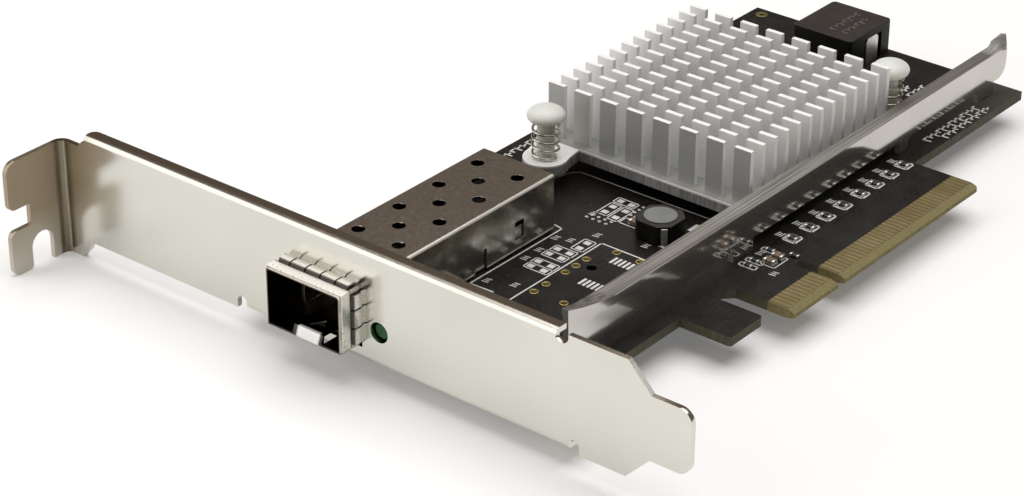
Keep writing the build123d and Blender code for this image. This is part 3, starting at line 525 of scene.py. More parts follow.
def ticks(work, low, high, x, tall, width, height, level=0.0, pitch=1.25):
    """A row of plain ticks along y that stands for a line of marks."""
    steps = round((high - low) / pitch)
    for i in range(steps):
        y = low + (high - low) * i / steps
        side = x + tall * 0.2 * (i % 3)
        stroke(work, (x, y), (x + tall * (1.0 - 0.4 * (i % 2)), y + 0.15), width, height, level)
        stroke(work, (side, y + 0.1), (side, y + 0.75), width, height, level)


def turn(work, profile, place, steps=40):
    """Spin a profile of (radius, height) round an upright axis, both ends on the axis."""
    rings = []
    for radius, height in profile:
        around = [math.tau * i / steps for i in range(steps if radius > 0.0 else 1)]
        spots = [(place[0] + radius * math.cos(a), place[1] + radius * math.sin(a), height) for a in around]
        rings.append([work.verts.new(spot) for spot in spots])
    for lower, upper in zip(rings, rings[1:]):
        for i in range(steps):
            j = (i + 1) % steps
            corners = [lower[i % len(lower)], lower[j % len(lower)]]
            corners += [upper[j % len(upper)], upper[i % len(upper)]]
            work.faces.new(list(dict.fromkeys(corners))).smooth = True


class Recipe(Tree):
    """A Geometry Nodes tree that repeats one form on points, with named sizes."""

    def __init__(self, name, **sizes):
        self.tree = bpy.data.node_groups.new(name, "GeometryNodeTree")
        face = self.tree.interface
        face.new_socket("Geometry", in_out="INPUT", socket_type="NodeSocketGeometry")
        face.new_socket("Geometry", in_out="OUTPUT", socket_type="NodeSocketGeometry")
        self.keys = {}
        for label, value in sizes.items():
            made = face.new_socket(label, in_out="INPUT", socket_type="NodeSocketFloat")
            made.default_value = value
            self.keys[label] = made.identifier
        self.entry = self.tree.nodes.new("NodeGroupInput")
        self.exit = self.tree.nodes.new("NodeGroupOutput")

    def given(self, label):
        """What is given to a named input."""
        return Signal(self, self.entry.outputs[label])

    def repeat(self, form, material):
        """Put the form on every point, realise it and give it the material."""
        inputs = {"Points": self.given("Geometry"), "Instance": form}
        placed = self.node("GeometryNodeInstanceOnPoints", inputs=inputs)
        real = self.node("GeometryNodeRealizeInstances", inputs={0: placed})
        done = self.node("GeometryNodeSetMaterial", inputs={"Geometry": real, "Material": material})
        self.fill(self.exit.inputs["Geometry"], done)
        return self

    def make(self, name, places, slot, **sizes):
        """A piece with the form on each place in mm."""
        mesh = bpy.data.meshes.new(name + "_places")
        mesh.from_pydata([tuple(c * MM for c in place) for place in places], [], [])
        piece = add_object(name, mesh)
        modifier = piece.modifiers.new("repeat", "NODES")
        modifier.node_group = self.tree
        for label, value in sizes.items():
            modifier[self.keys[label]] = value
        return settle(piece)


def plate_recipe(name, material):
    """Rectangular plates standing on the points."""
    recipe = Recipe(name, Length=MM, Width=MM, Height=0.1 * MM)
    sides = {i: recipe.given(label) for i, label in enumerate(("Length", "Width", "Height"))}
    size = recipe.node("ShaderNodeCombineXYZ", inputs=sides)
    cube = recipe.node("GeometryNodeMeshCube", inputs={"Size": size})
    lift = recipe.node("ShaderNodeCombineXYZ", inputs={2: recipe.given("Height") * 0.5})
    form = recipe.node("GeometryNodeTransform", inputs={"Geometry": cube, "Translation": lift})
    return recipe.repeat(form, material)


def ring_recipe(name, material):
    """Flat rings lying on the points."""
    recipe = Recipe(name, Radius=MM, Rim=0.3 * MM, Height=0.1 * MM)
    circle = recipe.node("GeometryNodeCurvePrimitiveCircle",
                         inputs={"Resolution": 28, "Radius": recipe.given("Radius")})
    section = recipe.node("GeometryNodeCurvePrimitiveQuadrilateral",
                          inputs={"Width": recipe.given("Rim"), "Height": recipe.given("Height")})
    form = recipe.node("GeometryNodeCurveToMesh", inputs={"Curve": circle, "Profile Curve": section})
    return recipe.repeat(form, material)


def spring_recipe(name, material, turns):
    """Coil springs standing on the points."""
    recipe = Recipe(name, Radius=2 * MM, Rise=6 * MM, Wire=0.5 * MM)
    radius = recipe.given("Radius")
    coil = recipe.node("GeometryNodeCurveSpiral",
                       inputs={"Resolution": 40, "Rotations": turns, "Start Radius": radius,
                               "End Radius": radius, "Height": recipe.given("Rise")})
    section = recipe.node("GeometryNodeCurvePrimitiveCircle",
                          inputs={"Resolution": 10, "Radius": recipe.given("Wire") * 0.5})
    tube = recipe.node("GeometryNodeCurveToMesh",
                       inputs={"Curve": coil, "Profile Curve": section, "Fill Caps": True})
    form = recipe.node("GeometryNodeSetShadeSmooth", inputs={0: tube})
    return recipe.repeat(form, material)


# Settings


def colour(label, default, what):
    return FloatVectorProperty(name=label, description=what, subtype="COLOR", size=3, min=0.0, max=1.0,
                               default=default)


def length(label, default, what):
    return FloatProperty(name=label, description=what, subtype="DISTANCE", unit="LENGTH",
                         default=default * MM, min=0.0, precision=5)


class CardColours(bpy.types.PropertyGroup):
    nickel: colour("Nickel", (0.80, 0.79, 0.74), "Plated bracket sheet")
    nickel_dark: colour("Nickel shade", (0.67, 0.66, 0.60), "Clouding of the bracket sheet")
    # Painted shade: colour of the rail tab, the face near its fold and the upward faces
    nickel_tab: colour("Nickel tab", (0.385, 0.322, 0.238), "Rail tab of the bracket")
    # Painted shade inside the fold beside the rail tab
    nickel_bend: colour("Nickel bend", (0.20, 0.17, 0.12), "Inside of the fold beside the rail tab")
    screw: colour("Screw", (0.40, 0.40, 0.38), "Bracket screws")
    screw_dark: colour("Screw shade", (0.30, 0.30, 0.28), "Clouding of the bracket screws")
    collar: colour("Collar", (0.95, 0.945, 0.89), "Spring-finger collar")
    # Painted shade on the front slope of the collar's fingers
    collar_slope_shade: colour("Collar slope", (0.055, 0.048, 0.038), "Front slope of the collar's fingers")
    # Painted shade at the root of the collar's fingers
    collar_root_shade: colour("Collar olive", (0.22, 0.21, 0.15), "Rear of the collar's fingers")
    cage: colour("Cage", (0.74, 0.71, 0.66), "Stamped cage sheet")
    cage_dark: colour("Cage shade", (0.62, 0.58, 0.53), "Clouding of the cage sheet")
    # Painted reflection in cloudy patches on the cage side
    cage_side: colour("Cage side", (0.30, 0.30, 0.24), "Cloudy patches on the cage side")
    # Painted highlight on the cage's upper right edge
    cage_edge: colour("Cage edge", (0.92, 0.90, 0.84), "Worn upper right edge of the cage")
    # Painted shade on the inner walls of the cage
    cage_inside: colour("Cage inside", (0.13, 0.10, 0.08), "Inner walls of the cage")
    # Painted shade on the front of the cage floor
    cage_floor: colour("Cage floor", (0.06, 0.055, 0.05), "Front of the cage floor")
    # Painted highlight on the latch tongue
    latch: colour("Latch", (0.95, 0.95, 0.93), "Polished latch tongue")
    socket: colour("Socket", (0.006, 0.006, 0.006), "Connector in the cage")
    socket_dark: colour("Socket shade", (0.010, 0.010, 0.010), "Clouding of the connector")
    bar: colour("Bar", (0.66, 0.64, 0.61), "Stiffener bar sheet")
    bar_dark: colour("Bar shade", (0.46, 0.44, 0.41), "Clouding of the bar's web")
    bar_lip: colour("Bar lip", (0.50, 0.485, 0.45), "Brushed lip of the bar")
    bar_line: colour("Bar lines", (0.25, 0.24, 0.22), "Fine lines along the lip of the bar")
    # Painted shade on the bar's lip towards its far end
    bar_far: colour("Bar far end", (0.24, 0.225, 0.21), "Lip of the bar towards its far end")
    bar_sawn: colour("Bar sawn end", (0.30, 0.29, 0.27), "Sawn ends of the bar")
    mask: colour("Mask", (0.009, 0.0078, 0.0072), "Solder mask")
    mask_far: colour("Mask far end", (0.058, 0.054, 0.047), "Solder mask at the far right corner")
    track: colour("Tracks", (0.024, 0.021, 0.020), "Tracks under the mask")
    dust: colour("Dust", (0.12, 0.12, 0.115), "Dust on the mask")
    # Painted shade on the wall of the peg's hole
    peg_wall_shade: colour("Peg hole", (0.002, 0.002, 0.002), "Wall of the peg's hole")
    laminate: colour("Laminate", (0.095, 0.088, 0.055), "Bare edge of the board")
    laminate_dark: colour("Laminate fibres", (0.055, 0.05, 0.032), "Fibres in the bare edge")
    tongue: colour("Tongue", (0.25, 0.215, 0.09), "Bare laminate of the card edge")
    tongue_dark: colour("Tongue fibres", (0.16, 0.135, 0.055), "Fibres of the card edge")
    tongue_gap: colour("Tongue gaps", (0.135, 0.112, 0.048), "Laminate between the contacts")
    gold: colour("Gold", (0.46, 0.375, 0.20), "Card-edge contacts")
    gold_dark: colour("Gold shade", (0.34, 0.26, 0.12), "Wear of the contacts")
    ring: colour("Ring gold", (0.66, 0.53, 0.18), "Plated rings of the unused port")
    barrel: colour("Barrel gold", (0.21, 0.17, 0.055), "Inside of the plated holes")
    aluminium: colour("Aluminium", (0.84, 0.845, 0.84), "Heatsink")
    aluminium_dark: colour("Aluminium shade", (0.68, 0.685, 0.675), "Clouding of the heatsink")
    # Painted highlight on the pins' upper ends, the ears and the plate's top edge
    aluminium_bright: colour("Aluminium bright", (1.0, 1.0, 0.99), "Upper ends of the fins and the ears")
    # Painted shade on the first row's fronts and on the plate between the pins
    aluminium_dull: colour("Aluminium dull", (0.36, 0.36, 0.34), "First fins and the plate between them")
    # Painted highlight on the pins' sawn tops
    pin_top: colour("Pin tops", (0.96, 0.96, 0.95), "Sawn tops of the heatsink's pins")
    cut: colour("Cut rim", (0.42, 0.42, 0.41), "Cut rim of the heatsink")
    cut_dark: colour("Cut rim shade", (0.20, 0.20, 0.20), "Saw marks in the cut rim")
    substrate: colour("Substrate", (0.02, 0.07, 0.035), "Controller's substrate")
    substrate_dark: colour("Substrate shade", (0.015, 0.05, 0.03), "Clouding of the substrate")
    pad_grey: colour("Grey pad", (0.18, 0.18, 0.19), "Pad between the controller and the heatsink")
    pad_grey_dark: colour("Grey pad shade", (0.14, 0.14, 0.15), "Clouding of the grey pad")
    nylon: colour("Nylon", (0.77, 0.79, 0.74), "Push pins")
    wire: colour("Wire", (0.66, 0.64, 0.57), "Push-pin springs")
    wire_dark: colour("Wire shade", (0.48, 0.46, 0.40), "Clouding of the springs")
    core: colour("Core", (0.0035, 0.003, 0.0025), "Sides of the inductor cores")
    # Colour of the cores' upper faces, lighter than their sides
    core_top: colour("Core top", (0.040, 0.033, 0.029), "Dusty upper faces of the inductor cores")
    drum_cap: colour("Drum cap", (0.20, 0.205, 0.20), "Top disc of the drum inductor")
    ink: colour("Ink", (0.74, 0.74, 0.70), "Printed lines on the board")
    ink_block: colour("Block ink", (0.16, 0.15, 0.145), "Faint marks on the block inductor")
    tin: colour("Tin", (0.78, 0.77, 0.74), "Leads and terminals")
    pad: colour("Pad", (0.84, 0.84, 0.82), "Bare pads and small vias")
    pad_dark: colour("Pad shade", (0.74, 0.74, 0.72), "Clouding of the pads")
    lens: colour("Lens", (0.016, 0.115, 0.032), "Indicator lens")
    resin: colour("Resin", (0.02, 0.02, 0.021), "Chip bodies and the lens holder")
    ceramic: colour("Ceramic", (0.20, 0.14, 0.09), "Chip capacitors")


class CardSizes(bpy.types.PropertyGroup):
    edge: length("Edge softness", 0.08, "Rounding of the sheet and plate edges")
    small_edge: length("Small softness", 0.04, "Rounding of the small parts")
    round_edge: length("Round softness", 0.15, "Rounding of the collar, the lens and the drum inductor")
    sink_edge: length("Heatsink softness", 0.10, "Rounding of the heatsink's edges")
    ink_width: length("Ink width", 0.20, "Width of a printed line")
    ink_height: length("Ink height", 0.03, "Height of a printed line")
    pad_height: length("Pad height", 0.04, "Height of a bare pad")
    spring_wire: length("Spring wire", 0.45, "Wire of the push-pin springs")
    head_radius: length("Head radius", 3.1, "Radius of a push pin's head")
    head_drop: length("Head drop", 0.6, "How far the push-pin heads hang over their springs")
    spring_turns: FloatProperty(name="Spring turns", description="Turns of each spring", default=4.0,
                                min=1.0)


class CardStage(bpy.types.PropertyGroup):
    floor: colour("Floor", (0.90, 0.90, 0.89), "Floor")
    white: FloatProperty(name="White", description="Share of plain white in the floor", subtype="FACTOR",
                         default=0.15, min=0.0, max=1.0)
    room: colour("Room", (0.125, 0.098, 0.077), "Light from the room")
    key: FloatProperty(name="Key", description="Power of the large overhead lamp", default=20.6, min=0.0)
    panel: FloatProperty(name="Panel", description="Power of the large front panel", default=6.6, min=0.0)
    lens: FloatProperty(name="Lens", description="Focal length in mm on a 36 mm sensor", default=101.50)


def colours():
    return bpy.context.scene.card_colours


def sizes():
    return bpy.context.scene.card_sizes


# Plain looks: colour, its shade by name or as a share, patches and grain to the metre, roughness from and
# to, relief, metallic, and what else the shader is given
LOOKS = {
    "screw_steel": ("screw", "screw_dark", 500.0, 5000.0, (0.3, 0.45), 0.15, 1.0, {}),
    "gold_plate": ("gold", "gold_dark", 160.0, 5000.0, (0.32, 0.5), 0.15, 1.0, {}),
    "tin_plate": ("tin", 0.75, 900.0, 6000.0, (0.25, 0.45), 0.2, 1.0, {}),
    "pad_tin": ("pad", "pad_dark", 800.0, 6000.0, (0.4, 0.55), 0.2, 0.45, {}),
    "ring_gold": ("ring", 0.7, 900.0, 5000.0, (0.3, 0.45), 0.1, 0.8, {}),
    "barrel_gold": ("barrel", 0.6, 900.0, 5000.0, (0.4, 0.6), 0.1, 0.5, {}),
    "spring_wire": ("wire", "wire_dark", 600.0, 5000.0, (0.04, 0.1), 0.03, 1.0, {}),
    "chip_resin": ("resin", 1.6, 300.0, 7000.0, (0.45, 0.6), 0.3, 0.0, {}),
    "brown_ceramic": ("ceramic", 0.75, 700.0, 5000.0, (0.35, 0.5), 0.2, 0.0, {}),
    "drum_cap": ("drum_cap", 0.85, 420.0, 4200.0, (0.5, 0.65), 0.4, 0.0, {}),
    "board_ink": ("ink", 0.8, 900.0, 5000.0, (0.5, 0.7), 0.15, 0.0, {}),
    "block_ink": ("ink_block", 0.5, 1500.0, 5000.0, (0.5, 0.7), 0.15, 0.0, {}),
    "substrate": ("substrate", "substrate_dark", 300.0, 4000.0, (0.35, 0.5), 0.15, 0.0, {}),
    "grey_pad": ("pad_grey", "pad_grey_dark", 300.0, 3000.0, (0.7, 0.85), 0.4, 0.0, {}),
    "socket_plastic": ("socket", "socket_dark", 300.0, 4000.0, (0.6, 0.75), 0.2, 0.0,
                       {"Specular_IOR_Level": 0.25}),
    "lens_green": ("lens", 0.7, 500.0, 3000.0, (0.15, 0.25), 0.05, 0.0, {"Specular_IOR_Level": 0.3}),
    "white_nylon": ("nylon", 0.9, 250.0, 3500.0, (0.38, 0.5), 0.1, 0.0,
                    {"Subsurface_Weight": 0.8, "Subsurface_Scale": 0.003,
                     "Subsurface_Radius": (1.0, 0.95, 0.85)}),
}
MADE = {}


def look(name):
    """The material of a plain look, with soft patches and fine grain, made once."""
    if name not in MADE:
        base, shade, patch, fine, rough, relief, metallic, fixed = LOOKS[name]
        base = getattr(colours(), base)
        darker = getattr(colours(), shade) if isinstance(shade, str) else [v * shade for v in base]
        finish = Finish(name, base, rough[0], metallic, **fixed)
        finish.set("Base Color", finish.mix(finish.cloud(patch, 0.35, 0.65), base, darker))
        finish.grain(fine, rough, relief)
        MADE[name] = finish.material
    return MADE[name]


# Pieces


class CARD_OT_bracket(bpy.types.Operator):
    """Finish the slot bracket, its screws and the spring collar"""

    bl_idname = "card.bracket"
    bl_label = "Bracket"

    def execute(self, context):
        s = sizes()
        dress("bracket", bracket_finish(colours()), s.edge)
        dress("cage_gasket", collar_finish(colours()), s.round_edge, 3)
        dress("bracket_screws", look("screw_steel"), s.edge)
        return {"FINISHED"}


class CARD_OT_board(bpy.types.Operator):
    """Finish the circuit board and its gold contacts"""

    bl_idname = "card.board"
    bl_label = "Board"

    def execute(self, context):
        paint("circuit_board", board_finish(colours()))
        paint("edge_contacts", look("gold_plate"))
        return {"FINISHED"}


# Printing on the board, in mm: outlines of parts (x0, x1, y0, y1), open lines and label places
OUTLINES = ((65.1, 69.6, 33.0, 34.6), (65.1, 69.6, 34.7, 36.4), (64.9, 69.1, 37.6, 39.4),
            (65.0, 69.2, 39.5, 41.4), (67.2, 69.4, 42.0, 45.7), (63.1, 65.2, 53.7, 57.8),
            (65.6, 67.6, 53.2, 57.8), (63.0, 67.0, 58.2, 59.9), (67.9, 71.3, 53.3, 55.2),
            (89.9, 92.9, 54.1, 55.2), (89.9, 92.9, 55.9, 57.0), (92.3, 94.9, 56.5, 60.3),
            (89.9, 92.9, 60.1, 61.2))
LINES = (((70.0, 23.8), (70.0, 46.2)), ((70.0, 46.2), (85.2, 46.1)), ((62.3, 23.8), (62.4, 46.0)),
         ((62.4, 46.0), (60.8, 46.3)), ((62.3, 23.8), (66.6, 24.0)), ((51.0, 58.2), (51.8, 61.6)),
         ((51.8, 61.6), (52.9, 62.9)), ((52.9, 62.9), (84.0, 63.2)), ((86.2, 62.9), (86.2, 104.0)))
LABELS = ((63.2, 25.6), (67.3, 27.2), (62.9, 42.6), (65.2, 43.4), (63.3, 38.0), (63.3, 34.6),
          (67.4, 47.3), (75.2, 49.3), (62.6, 52.6), (90.0, 58.6), (95.3, 54.6), (47.0, 108.6),
          (68.0, 110.0))

# The row of eight chip parts, in mm: their places along y, left and right of an outline and half its length
ROW_PLACES = (66.1, 70.8, 75.4, 80.2, 85.2, 89.5, 93.8, 98.1)
ROW_LEFT, ROW_RIGHT, ROW_HALF = 90.55, 92.95, 1.15

# Rows of ticks where the board and the block are marked, in mm: first y, last y, x and height of a tick
BOARD_ROWS = ((108.0, 124.5, 89.3, 1.3), (111.0, 125.5, 91.0, 1.1), (57.5, 68.0, 39.6, 1.2),
              (119.5, 124.0, 76.5, 0.9), (120.5, 126.0, 78.2, 0.9), (122.0, 128.0, 80.0, 0.9))
BLOCK_ROWS = ((123.6, 132.6, 60.2, 1.1), (123.6, 131.6, 62.6, 1.1))


class CARD_OT_printing(bpy.types.Operator):
    """Draw the part outlines and plain label strokes on the board"""

    bl_idname = "card.printing"
    bl_label = "Printing"

    def execute(self, context):
        wide, high = sizes().ink_width, sizes().ink_height
        work = bmesh.new()
        for box in OUTLINES:
            frame_of(work, *box, wide, high)
        for start, end in LINES:
            stroke(work, start, end, wide * 1.3, high)
        for y in ROW_PLACES:
            self.row_mark(work, y, wide, high)
        for x, y in LABELS:
            for i in range(3):
                end = (x + 1.0 - 0.15 * (i % 2), y + 0.5 * i + 0.1)
                stroke(work, (x + 0.1 * i, y + 0.5 * i), end, wide * 0.9, high)
        for row in BOARD_ROWS:
            ticks(work, *row, wide * 1.5, high)
        settle(shaped("board_printing", work, look("board_ink")))
        work = bmesh.new()
        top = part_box("block_inductor_core")[1].z / MM
        for row in BLOCK_ROWS:
            ticks(work, *row, wide * 1.2, high * 0.5, top)
        settle(shaped("block_printing", work, look("block_ink")))
        return {"FINISHED"}

    def row_mark(self, work, y, wide, high):
        """Outline of one part of the row, a stroke across it and three beside it."""
        frame_of(work, ROW_LEFT, ROW_RIGHT, y - ROW_HALF, y + ROW_HALF, wide * 1.4, high)
        stroke(work, (ROW_LEFT + 0.65, y - 0.95), (ROW_RIGHT - 0.2, y - 0.35), wide, high)
        for i in range(3):
            x = ROW_LEFT - 1.55 + 0.45 * i
            stroke(work, (x, y - 0.6), (x + 0.15, y + 0.5 - 0.2 * (i % 2)), wide * 1.2, high)


# Bare pads under missing parts and plated holes of the unused port, in mm
PADS = ((66.0, 33.8), (68.5, 33.8), (66.0, 35.6), (68.5, 35.6), (65.8, 38.5), (68.2, 38.5),
        (65.9, 40.5), (68.2, 40.5), (68.3, 42.8), (68.3, 44.8), (64.15, 54.7), (64.15, 56.8),
        (66.6, 54.2), (66.6, 56.8), (64.0, 59.05), (66.1, 59.05))
RINGS = ((71.2, 28.0), (71.2, 30.9), (71.2, 35.6), (71.2, 38.2), (71.2, 40.8), (73.5, 45.4), (78.0, 45.3),
         (76.8, 28.1))
PORT_PADS = [(x + 0.8 * i, y) for x, y in ((74.67, 43.1), (74.95, 34.95)) for i in range(11)]
ROW_PADS = [(x, y) for y in ROW_PLACES for x in (90.98, 92.38)]
VIAS = ([(62.9 + 1.25 * i + 0.3 * (j % 2), 51.6 + 1.05 * j) for i in range(4) for j in range(2)]
        + [(67.9 + 0.9 * i, 56.4 + 1.1 * j) for i in range(4) for j in range(4)]
        + [(44.0 + 6.7 * i, 110.0 + 2.3 * ((i * 5) % 4)) for i in range(6)])

# Plates: places, length and width in mm, and share of the pad height
PLATES = {"part_pads": (PADS, 1.15, 1.0, 1.0), "port_pads": (PORT_PADS, 0.45, 2.0, 1.0),
          "drum_front_pad": ([(75.8, 51.25)], 4.7, 0.6, 1.0),
          "drum_back_pad": ([(78.5, 59.2)], 1.7, 2.4, 1.0), "row_pads": (ROW_PADS, 0.5, 1.6, 0.5)}

# Round plating: look, slot, places, level, radius, rim and height in mm
ROUNDS = {"port_rings": ("ring_gold", "gold", RINGS, 0.01, 0.62, 0.18, 0.05),
          "port_barrels": ("barrel_gold", "gold", RINGS, -0.6, 0.48, 0.06, 1.1),
          "small_vias": ("pad_tin", "tin", VIAS, 0.01, 0.2, 0.16, 0.03),
          "corner_rings": ("barrel_gold", "gold", [(40.4, 132.2)], 0.01, 0.8, 0.7, 0.04)}


class CARD_OT_pads(bpy.types.Operator):
    """Lay the bare pads, plated rings and small vias"""

    bl_idname = "card.pads"
    bl_label = "Pads"

    def execute(self, context):
        plates = plate_recipe("pad_plates", look("pad_tin"))
        for name, (places, long, wide, share) in PLATES.items():
            plates.make(name, [(*place, 0.0) for place in places], "tin", Length=long * MM,
                        Width=wide * MM, Height=sizes().pad_height * share)
        names = {"ring_gold": "plated_rings", "barrel_gold": "plated_barrels", "pad_tin": "tinned_vias"}
        recipes = {key: ring_recipe(name, look(key)) for key, name in names.items()}
        for name, (key, slot, places, level, radius, rim, high) in ROUNDS.items():
            recipes[key].make(name, [(*place, level) for place in places], slot, Radius=radius * MM,
                              Rim=rim * MM, Height=high * MM)
        return {"FINISHED"}


class CARD_OT_stiffener(bpy.types.Operator):
    """Finish the stiffener bar"""

    bl_idname = "card.stiffener"
    bl_label = "Stiffener bar"

    def execute(self, context):
        dress("stiffener_bar", bar_finish(colours()), sizes().edge)
        return {"FINISHED"}


class CARD_OT_cage(bpy.types.Operator):
    """Finish the transceiver cage and the connector in it"""

    bl_idname = "card.cage"
    bl_label = "Cage"

    def execute(self, context):
        dress("cage_cover", cage_finish(colours()), sizes().small_edge)
        dress("cage_base", lip_finish(colours()), sizes().small_edge, 1)
        paint("socket_housing", look("socket_plastic"))
        paint("socket_contacts", look("gold_plate"))
        return {"FINISHED"}


class CARD_OT_indicator(bpy.types.Operator):
    """Finish the indicator lens, its holder and leads"""

    bl_idname = "card.indicator"
    bl_label = "Indicator"

    def execute(self, context):
        dress("led_lens", look("lens_green"), sizes().round_edge)
        paint("led_holder", look("chip_resin"))
        paint("led_leads", look("tin_plate"))
        return {"FINISHED"}


class CARD_OT_heatsink(bpy.types.Operator):
    """Finish the heatsink and the chip stack under it"""

    bl_idname = "card.heatsink"
    bl_label = "Heatsink"

    def execute(self, context):
        dress("heatsink", sink_finish(colours()), sizes().sink_edge)
        paint("controller_substrate", look("substrate"))
        paint("controller_lid", look("chip_resin"))
        paint("thermal_pad", look("grey_pad"))
        return {"FINISHED"}


# The push pins' places on the board in mm, the share of the heads' drop that presses the springs, and how
# much higher a head's dome would stand as a whole ellipse
PUSH_PINS = ((50.5, 56.9), (83.4, 105.9))
PRESSED = 0.7
CROWN = 1.06


class CARD_OT_push_pins(bpy.types.Operator):
    """Finish the push pins and wind their springs"""

    bl_idname = "card.push_pins"
    bl_label = "Push pins"

    def execute(self, context):
        s = sizes()
        low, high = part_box("push_pin_springs")
        self.domed(high.z)
        recipe = spring_recipe("spring_coil", look("spring_wire"), s.spring_turns)
        start = (low.z + s.spring_wire / 2) / MM
        radius = (high.x - low.x - (PUSH_PINS[1][0] - PUSH_PINS[0][0]) * MM) / 2
        spring = recipe.make("push_pin_coils", [(*place, start) for place in PUSH_PINS], "spring_wire",
                             Radius=radius - s.spring_wire / 2, Wire=s.spring_wire,
                             Rise=high.z - low.z - s.spring_wire - s.head_drop * PRESSED)
        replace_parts(spring, "push_pin_springs")
        return {"FINISHED"}

    def domed(self, head_low, steps=18):
        """The pins with their plain heads exchanged for flattened round ones."""
        s = sizes()
        work = welded("push_pins")
        head = [f for f in work.faces if min(v.co.z for v in f.verts) > head_low - 0.01 * MM]
        bmesh.ops.delete(work, geom=head, context="FACES")
        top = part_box("push_pins")[1].z
        head_low -= s.head_drop
        middle = (top + head_low) / 2
        rise = (top - middle) * CROWN
        lowest = math.asin((head_low - middle) / rise)
        profile = [(0.0, head_low)]
        for i in range(steps):
            angle = lowest + (math.pi / 2 - lowest) * i / steps
            profile.append((s.head_radius * math.cos(angle), middle + rise * math.sin(angle)))
        profile.append((0.0, middle + rise))
        for x, y in PUSH_PINS:
            turn(work, profile, (x * MM, y * MM))
        pins = shaped("push_pins_domed", work, look("white_nylon"))
        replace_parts(settle(pins), "push_pins")


class CARD_OT_inductors(bpy.types.Operator):
    """Finish the block and drum inductors"""

    bl_idname = "card.inductors"
    bl_label = "Inductors"

    def execute(self, context):
        s = sizes()
        core, tin = core_finish(colours()), look("tin_plate")
        dress("block_inductor_core", core, s.edge)
        dress("block_inductor_winding", tin, s.small_edge)
        dress("drum_inductor_core", core, s.round_edge)
        dress("drum_inductor_cap", look("drum_cap"), s.edge)
        dress("drum_inductor_terminals", tin, s.small_edge)
        return {"FINISHED"}


# Small parts: node, look and slot
CHIPS = (("resistor_bodies", "chip_resin", "dark_chip"), ("resistor_ends", "tin_plate", "tin"),
         ("capacitor_bodies", "brown_ceramic", "brown_ceramic"), ("capacitor_ends", "tin_plate", "tin"),
         ("flash_chip", "chip_resin", "chip_resin"), ("regulator_chip", "chip_resin", "chip_resin"),
         ("crystal_can", "tin_plate", "tin"))


class CARD_OT_chips(bpy.types.Operator):
    """Finish the chip resistors, capacitors and the low parts behind the heatsink"""

    bl_idname = "card.chips"
    bl_label = "Chip parts"

    def execute(self, context):
        for node, name, slot in CHIPS:
            dress(node, look(name), sizes().small_edge, 1)
        return {"FINISHED"}


# The stage, in metres: half the floor's side, what the lamps aim at, each lamp's place and side, and the
# camera's place and turn, its sensor in mm, its shift and its clipping
FLOOR_HALF = 6.0
AIM = Vector((0.06, 0.05, 0.0))
LAMPS = {"key": ((0.05, 0.22, 1.30), 1.6), "panel": ((-0.66, -0.79, 0.52), 1.25)}
CAMERA = Matrix(((0.782587, -0.307643, 0.541214, 0.302248),
                 (0.622468, 0.373445, -0.687802, -0.264685),
                 (0.009484, 0.875154, 0.483751, 0.213212),
                 (0.0, 0.0, 0.0, 1.0)))
SENSOR = 36.0
SHIFT = (-0.0256, 0.0016)
CLIP = (0.01, 20.0)


def floor_finish(stage):
    """Pale paper, white to the camera, that gives part of its white itself where it is seen."""
    finish = Finish("floor_paper", stage.floor, 0.65)
    finish.set("Roughness", finish.between(finish.noise(3.0, 3.0), 0.3, 0.7, 0.6, 0.7))
    camera, gloss, through = (finish.node("ShaderNodeLightPath", output=name)
                              for name in ("Is Camera Ray", "Is Glossy Ray", "Is Transmission Ray"))
    finish.set("Base Color", finish.mix(camera, stage.floor, WHITE))
    share = camera.larger(gloss).larger(through) * stage.white
    white = finish.node("ShaderNodeEmission", inputs={"Color": (*WHITE, 1.0), "Strength": 1.0})
    body = Signal(finish, finish.shader.outputs["BSDF"])
    blend = finish.node("ShaderNodeMixShader", inputs={0: share, 1: body, 2: white})
    finish.fill(finish.tree.nodes["Material Output"].inputs["Surface"], blend)
    return finish.material


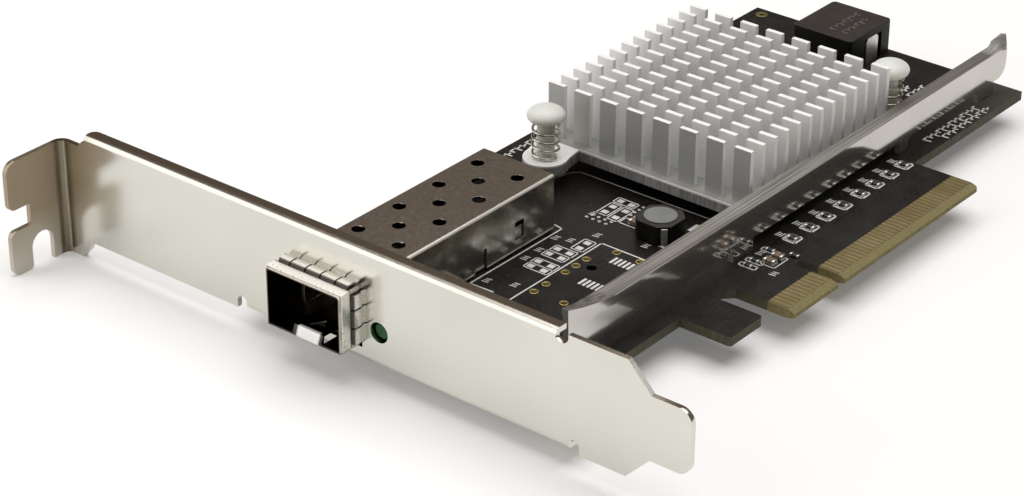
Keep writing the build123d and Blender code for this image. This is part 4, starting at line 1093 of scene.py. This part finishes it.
class CARD_OT_stage(bpy.types.Operator):
    """Set the floor, the lamps, the room and the camera"""

    bl_idname = "card.stage"
    bl_label = "Stage"

    def execute(self, context):
        scene, stage = context.scene, context.scene.card_stage
        self.floor(stage)
        for name, (place, side) in LAMPS.items():
            self.lamp(name, Vector(place), side, getattr(stage, name))
        scene.world = bpy.data.worlds.new("room")
        scene.world.use_nodes = True
        scene.world.node_tree.nodes["Background"].inputs["Color"].default_value = (*stage.room, 1.0)
        data = bpy.data.cameras.new("camera")
        data.lens, data.sensor_width = stage.lens, SENSOR
        data.shift_x, data.shift_y = SHIFT
        data.clip_start, data.clip_end = CLIP
        scene.camera = add_object("camera", data)
        scene.camera.matrix_world = CAMERA
        scene.view_settings.view_transform = "Standard"
        return {"FINISHED"}

    def floor(self, stage):
        """A wide level sheet under the card."""
        mesh = bpy.data.meshes.new("floor")
        corners = [(x * FLOOR_HALF, y * FLOOR_HALF, CAD_BOX[0].z)
                   for x, y in ((-1, -1), (1, -1), (1, 1), (-1, 1))]
        mesh.from_pydata(corners, [], [(0, 1, 2, 3)])
        mesh.materials.append(floor_finish(stage))
        add_object("floor", mesh)

    def lamp(self, name, place, side, power):
        """A square soft lamp turned to the card."""
        data = bpy.data.lights.new(name, "AREA")
        data.energy = power
        data.size = side
        lamp = add_object(name, data)
        lamp.location = place
        lamp.rotation_euler = (AIM - place).to_track_quat("-Z", "Y").to_euler()


class CARD_PT_panel(bpy.types.Panel):
    """Everything that makes the card, in order"""

    bl_label = "Network interface card"
    bl_idname = "CARD_PT_panel"
    bl_space_type = "VIEW_3D"
    bl_region_type = "UI"
    bl_category = "Card"

    def draw(self, context):
        for operator in OPERATORS:
            self.layout.operator(operator.bl_idname)
        for group in (context.scene.card_colours, context.scene.card_sizes, context.scene.card_stage):
            for key in group.__annotations__:
                self.layout.prop(group, key)


OPERATORS = (CARD_OT_bracket, CARD_OT_board, CARD_OT_printing, CARD_OT_pads, CARD_OT_stiffener, CARD_OT_cage,
             CARD_OT_indicator, CARD_OT_heatsink, CARD_OT_push_pins, CARD_OT_inductors, CARD_OT_chips,
             CARD_OT_stage)
GROUPS = {"card_colours": CardColours, "card_sizes": CardSizes, "card_stage": CardStage}


def register():
    for group in (*GROUPS.values(), *OPERATORS, CARD_PT_panel):
        bpy.utils.register_class(group)
    for name, group in GROUPS.items():
        setattr(bpy.types.Scene, name, PointerProperty(type=group))


def unregister():
    for name in GROUPS:
        delattr(bpy.types.Scene, name)
    for group in (CARD_PT_panel, *reversed(OPERATORS), *GROUPS.values()):
        bpy.utils.unregister_class(group)


def main():
    """Make every piece in order."""
    register()
    for operator in OPERATORS:
        family, action = operator.bl_idname.split(".")
        getattr(getattr(bpy.ops, family), action)()


if __name__ == "__main__":
    main()
